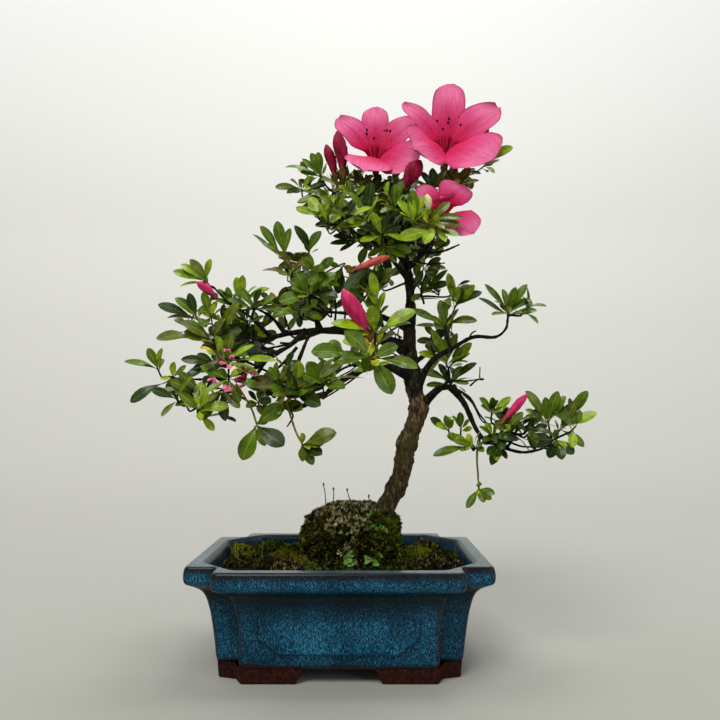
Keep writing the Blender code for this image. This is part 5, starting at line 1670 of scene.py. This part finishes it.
def flat_paint(name, dark, light, size=2, rough=0.5):
    """A tint that clouds from one colour to another, with a fine relief."""
    paint = Paint(name, srgb(*dark), rough, 0.2)
    clouds = paint.noise(size, 4, (1, 1, 0.4))
    paint.colour(paint.ramp(clouds, (0.35, srgb(*dark)), (0.65, srgb(*light))))
    paint.bump(clouds, 0.15, 0.6)
    return paint.material


def petal_line(throat, facing, radial, tip):
    """A petal's middle line: its tube and funnel, its lobe, and the share of each of the lobe's points."""
    base = throat - facing * TUBE_LENGTH
    mouth = throat + facing * FUNNEL_DEPTH + radial * FUNNEL_RADIUS
    low = base.lerp(throat, 0.65) + radial * 1.8
    tube = smooth_line([base + radial * 1.1, low, throat + radial * 2.9, mouth], 4)[:-1]
    middle = mouth.lerp(tip, 0.5) + facing * (tip - throat).length * 0.05
    arc = smooth_line([tube[-1], mouth, middle, tip], 24)[24:]
    shares = [math.sin(math.pi / 2 * k / LOBE_ROWS) ** 0.85 for k in range(LOBE_ROWS + 1)]
    return tube, [arc[round(share * (len(arc) - 1))] for share in shares], shares


def petal_half(t, width, out):
    """Half a petal's width at a share t of its lobe, or in its tube if t is below 0, out from its axis."""
    if t < 0:
        return 0.75 * max(out, 1)
    if t < LOBE_WIDEST:
        share = LOBE_NECK + (1 - LOBE_NECK) * math.sin(math.pi / 2 * t / LOBE_WIDEST)
        return width / 2 * max(share, min(1, LOBE_SPREAD * out / (width / 2)))
    return width / 2 * math.sqrt(max(0.0004, 1 - ((t - LOBE_WIDEST) / (1 - LOBE_WIDEST)) ** 2.1))


def add_petal(bm, layers, throat, facing, tip, width, upper, seed, droop=None):
    """One petal: a fifth of the tube and funnel, then its lobe, which spreads and bends back."""
    radial = tip - throat
    radial = (radial - facing * radial.dot(facing)).normalized()
    length = (tip - throat).length
    lateral = facing.cross(radial).normalized()
    tube, lobe, shares = petal_line(throat, facing, radial, tip)
    line = tube + lobe
    rows = []
    for k, place in enumerate(line):
        ahead = heading(line, k)
        t = shares[k - len(tube)] if k >= len(tube) else -1
        wide = lateral
        if droop:
            hanging = droop.cross(ahead).normalized()
            wide = lateral.lerp(hanging, clamp(0.3 + 1.6 * t)).normalized()
        normal = wide.cross(ahead)
        half = petal_half(t, width, (place - throat).dot(radial))
        s = max(0, t)
        row = []
        for c in range(PETAL_ACROSS + 1):
            u = 2 * c / PETAL_ACROSS - 1
            back = NOTCH * length * s**8 * math.exp(-((u * half / (0.07 * width)) ** 2))
            wave = 1.2 * noise.noise(Vector((u * 1.2 + seed, s * 2.2, seed * 3.7))) * s
            ruffle = 0.02 * length * abs(u) ** 3 * math.sin(9 * s + 3 * u + seed) * s
            crease = -1.1 * s * (1 - s) * 2 * math.exp(-((u / 0.12) ** 2))
            curl = (0.05 * (1 - s) - 0.07 * s) * width * u * u
            spot = place - ahead * back + wide * half * u + normal * (wave + ruffle + crease + curl)
            blade = Vector((u * width / 25 + seed * 7, s * length / 25, seed))
            deep = clamp(1 - 1.35 * s) * (1 - 0.3 * abs(u)) if t > 0 else 1
            speck = upper * min(1, 0.3 + 4 * s) * clamp(3.2 * (0.66 - s)) * max(0, 1 - 1.4 * abs(u))
            rim = max(0, (abs(u) - 0.9) * 8) * min(1, 3 * s) if s < 0.99 else 0.3
            row.append(new_vertex(bm, spot, layers, (blade, deep, speck, rim)))
        rows.append(row)
    bridge(bm, rows, closed=False)


def add_stamen(bm, root, tip, facing, radius, cap):
    """A filament that curves up to its tip, with an anther or a stigma on it."""
    middle = root.lerp(tip, 0.55) - (UP - facing * UP.dot(facing)) * (tip - root).length * 0.07
    line = stick(bm, [root, middle, tip], 6, (radius, radius * 0.7), 6, FILAMENT)
    along = heading(line, len(line) - 1)
    sweep(bm, [tip + along * step for step in POD_STEPS], POD_RADII, 8, cap)


def add_bud(bm, base, tip, girth, slot):
    """A bud of rolled petals that twist to a point, in a cup of small scales."""
    line = smooth_line([base, base.lerp(tip, 0.5) + Vector((0.4, 0, 0.3)), tip], 14)
    along = (tip - base).normalized()
    side = along.orthogonal().normalized()
    length = (tip - base).length
    rings = []
    for k, place in enumerate(line):
        t = k / (len(line) - 1)
        belly = math.sin(math.pi * min(1, 0.06 + 0.94 * t**1.25)) ** 0.72 * (0.55 + 0.55 * t)
        ring = []
        for c in range(BUD_SIDES):
            angle = math.tau * c / BUD_SIDES
            step = (BUD_PETALS * angle / math.tau + 1.3 * t) % 1
            reach = girth * belly * (0.86 + 0.2 * step**1.5) if k < len(line) - 1 else 0.1
            ring.append(bm.verts.new(place + turned(side, along, angle) * max(reach, 0.1)))
        rings.append(ring)
    bridge(bm, rings, slot)
    for k in range(BUD_PETALS):
        out = turned(side, along, k * math.tau / BUD_PETALS)
        width = out.cross(along).normalized() * girth * 0.5
        foot = base - along * length * 0.06 + out * girth * 0.1
        middle = base + along * length * 0.08 + out * girth * 0.62
        top = base + along * length * 0.24 + out * girth * 0.72
        add_scale(bm, foot, middle, width, top, SCALE_GREEN if slot == PALE else SCALE_BROWN)


def make_flowers(petals, layers, parts):
    """The open flowers that the photograph shows, then one at the back, each petal with its own seed."""
    seed = 0.0
    for pixel, depth, facing, stand, size, spots, anthers in FLOWERS:
        facing = Vector(facing).normalized()
        throat = seen(pixel, depth)
        for number, (spot, share) in enumerate(spots):
            ray = seen(spot, depth) - CAMERA_PLACE
            far = (throat + facing * stand - CAMERA_PLACE).dot(facing) / ray.dot(facing)
            tip = CAMERA_PLACE + ray * far
            seed += SEED_STEP
            upper, droop = (1, None) if number < UPPER_PETALS else (0.1, DROOP_FACING)
            add_petal(petals, layers, throat, facing, tip, size * share, upper, seed, droop)
        root = throat - facing * STAMEN_ROOT
        for spot in anthers:
            tip = seen(spot, depth - size * ANTHERS_OUT)
            add_stamen(parts, root, tip, facing, STAMEN_RADIUS, ANTHER)
        if anthers:
            stigma = throat + facing * size * 0.5 + Vector((size * 0.16, 0, size * 0.1))
            add_stamen(parts, root, stigma, facing, STIGMA_RADIUS, STIGMA)
        foot = throat - facing * TUBE_LENGTH
        stalk = [foot - facing * 9 - UP * 4, foot - facing * 3, foot + facing * 1.5]
        sweep(parts, stalk, [0.8, 1.0, 1.9], 8, SCALE_BROWN)
    throat, facing, size = BACK_FLOWER
    facing = facing.normalized()
    side = facing.orthogonal().normalized()
    for k in range(5):
        out = turned(side, facing, math.radians(18) + k * math.tau / 5)
        seed += SEED_STEP
        tip = throat + facing * 13 + out * size
        add_petal(petals, layers, throat, facing, tip, size * 0.6, 1 if k < 2 else 0, seed)
        anther = throat + facing * size * 0.55 + (out * 0.2 + UP * 0.15) * size
        add_stamen(parts, throat - facing * STAMEN_ROOT, anther, facing, STAMEN_RADIUS, ANTHER)


def make_blossom():
    """Open flowers with stamens, buds and the wilted remains of earlier flowers."""
    petals = bmesh.new()
    layers = [petals.verts.layers.float_vector.new("blade")]
    layers += [petals.verts.layers.float.new(name) for name in ("throat", "speck", "rim")]
    parts = bmesh.new()
    make_flowers(petals, layers, parts)
    add_piece("petals", petals, [petal_paint()])
    for base, near, tip, far, girth, colour in BUDS:
        add_bud(parts, seen(base, near), seen(tip, far), girth, colour)
    add_bud(parts, *BACK_BUD, CRIMSON)
    rng = random.Random(3)
    for pixel, depth, size, colour in WILTED:
        place = seen(pixel, depth)
        for _ in range(WILTED_PETALS):
            way = Vector((rng.uniform(-1, 1), rng.uniform(-1, 1), rng.uniform(-1.2, 0.3))).normalized()
            tip = place + way * size * rng.uniform(0.6, 1.1)
            add_leaf(parts, place, tip, TO_VIEWER + UP, size * 0.3, colour, rng)
    add_piece("stamens_and_buds", parts, [flat_paint(*tint) for tint in BLOSSOM_TINTS])


# Stage: the floor runs back and curves up into the backdrop
STAGE_HALF_WIDTH = 3.2
STAGE_FLOOR = (-2.0, -1, -0.4, 0, 0.4)
STAGE_BEND = 0.9
STAGE_RADIUS = 0.9
STAGE_STEPS = 24
STAGE_TOP = 3.4
FALLOFF_FROM = -0.6
FALLOFF_TO = 3.6

# Greys of the sheet, which paint the studio light's falloff: how far back and up it has run, and the colour
# there
PAINTED_FALLOFF = [
    (-0.08, (162, 162, 153)), (0.05, (166, 166, 158)), (0.34, (172, 172, 166)), (1.15, (188, 188, 181)),
    (1.73, (199, 199, 192)), (2.22, (212, 212, 205)), (2.6, (226, 226, 220)), (3.05, (234, 234, 230)),
    (3.5, (240, 240, 237)),
]

# Lights: name, place, what each one faces, width, watts and colour
PLANT_MIDDLE = (0, 0, 0.2)
LIGHTS = [
    ("key", (-1.0, -2.1, 3.0), PLANT_MIDDLE, 1.7, 88, (1, 0.985, 0.96)),
    ("fill", (2.2, -1.8, 1.2), PLANT_MIDDLE, 1.6, 16, (0.97, 0.985, 1)),
    ("top", (0.3, 0.2, 2.6), PLANT_MIDDLE, 1.0, 24, (1, 1, 1)),
    ("wall_left", (-2.1, 0.3, 3.1), (-1.9, 1.8, 1.8), 1.4, 17, (1, 1, 1)),
    ("wall_right", (2.1, 0.3, 3.1), (1.9, 1.8, 1.8), 1.4, 17, (1, 1, 1)),
]
SKY_COLOUR = (0.95, 0.97, 1, 1)
SKY_STRENGTH = 0.25
SENSOR_WIDTH = 36


def make_stage():
    """One seamless sheet whose greys paint the light's falloff: painted shade at the viewer's end, painted
    light towards the top.
    """
    profile = [(y, 0) for y in STAGE_FLOOR]
    for k in range(STAGE_STEPS + 1):
        angle = math.pi / 2 * k / STAGE_STEPS
        profile.append((STAGE_BEND + STAGE_RADIUS * math.sin(angle), STAGE_RADIUS * (1 - math.cos(angle))))
    profile.append((STAGE_BEND + STAGE_RADIUS, STAGE_TOP))
    bm = bmesh.new()
    rows = [[bm.verts.new((x, y, z)) for x in (-STAGE_HALF_WIDTH, STAGE_HALF_WIDTH)] for y, z in profile]
    bridge(bm, rows, closed=False)
    paint = Paint("backdrop_paper", srgb(232, 231, 224), 0.9, 0.5)
    where = paint.nodes.new("ShaderNodeTexCoord").outputs["Object"]
    parts = paint.add("ShaderNodeSeparateXYZ", Vector=where)
    run = paint.maths("ADD", parts.outputs["Y"], parts.outputs["Z"])
    # the greys paint light and shade onto the sheet
    stops = [((far - FALLOFF_FROM) / (FALLOFF_TO - FALLOFF_FROM), srgb(*grey)) for far, grey in PAINTED_FALLOFF]
    paint.colour(paint.ramp(paint.span(run, FALLOFF_FROM, FALLOFF_TO), *stops))
    paint.bump(paint.noise(0.4, 2), 0.02, 0.2)
    mesh_object("backdrop", bm, [paint.material])


def add_light(name, place, target, size, watts, colour):
    """A round lamp that faces a target."""
    light = bpy.data.lights.new(name, "AREA")
    light.shape = "DISK"
    light.size = size
    light.energy = watts
    light.color = colour
    lamp = put_in_scene(name, light)
    lamp.location = place
    lamp.rotation_euler = (Vector(place) - Vector(target)).to_track_quat("Z", "Y").to_euler()


def make_light_and_camera():
    """Lamps, a dim sky, and the camera at the photograph's place."""
    for light in LIGHTS:
        add_light(*light)
    scene = bpy.context.scene
    scene.world = bpy.data.worlds.new("studio")
    scene.world.use_nodes = True
    sky = scene.world.node_tree.nodes["Background"]
    sky.inputs["Color"].default_value = SKY_COLOUR
    sky.inputs["Strength"].default_value = SKY_STRENGTH
    scene.view_settings.view_transform = "Standard"
    camera = bpy.data.cameras.new("camera")
    camera.sensor_width = SENSOR_WIDTH
    camera.lens = SENSOR_WIDTH * FOCAL_PIXELS / PHOTO_SIDE
    camera.clip_start = 0.01
    scene.camera = put_in_scene("camera", camera)
    scene.camera.location = TO_ROW @ CAMERA_PLACE
    scene.camera.rotation_euler = (math.pi / 2 + CAMERA_PITCH, 0, 0)


lines = limb_lines()
make_pot()
make_ground()
make_wood(lines)
make_foliage(lines)
make_blossom()
make_stage()
make_light_and_camera()
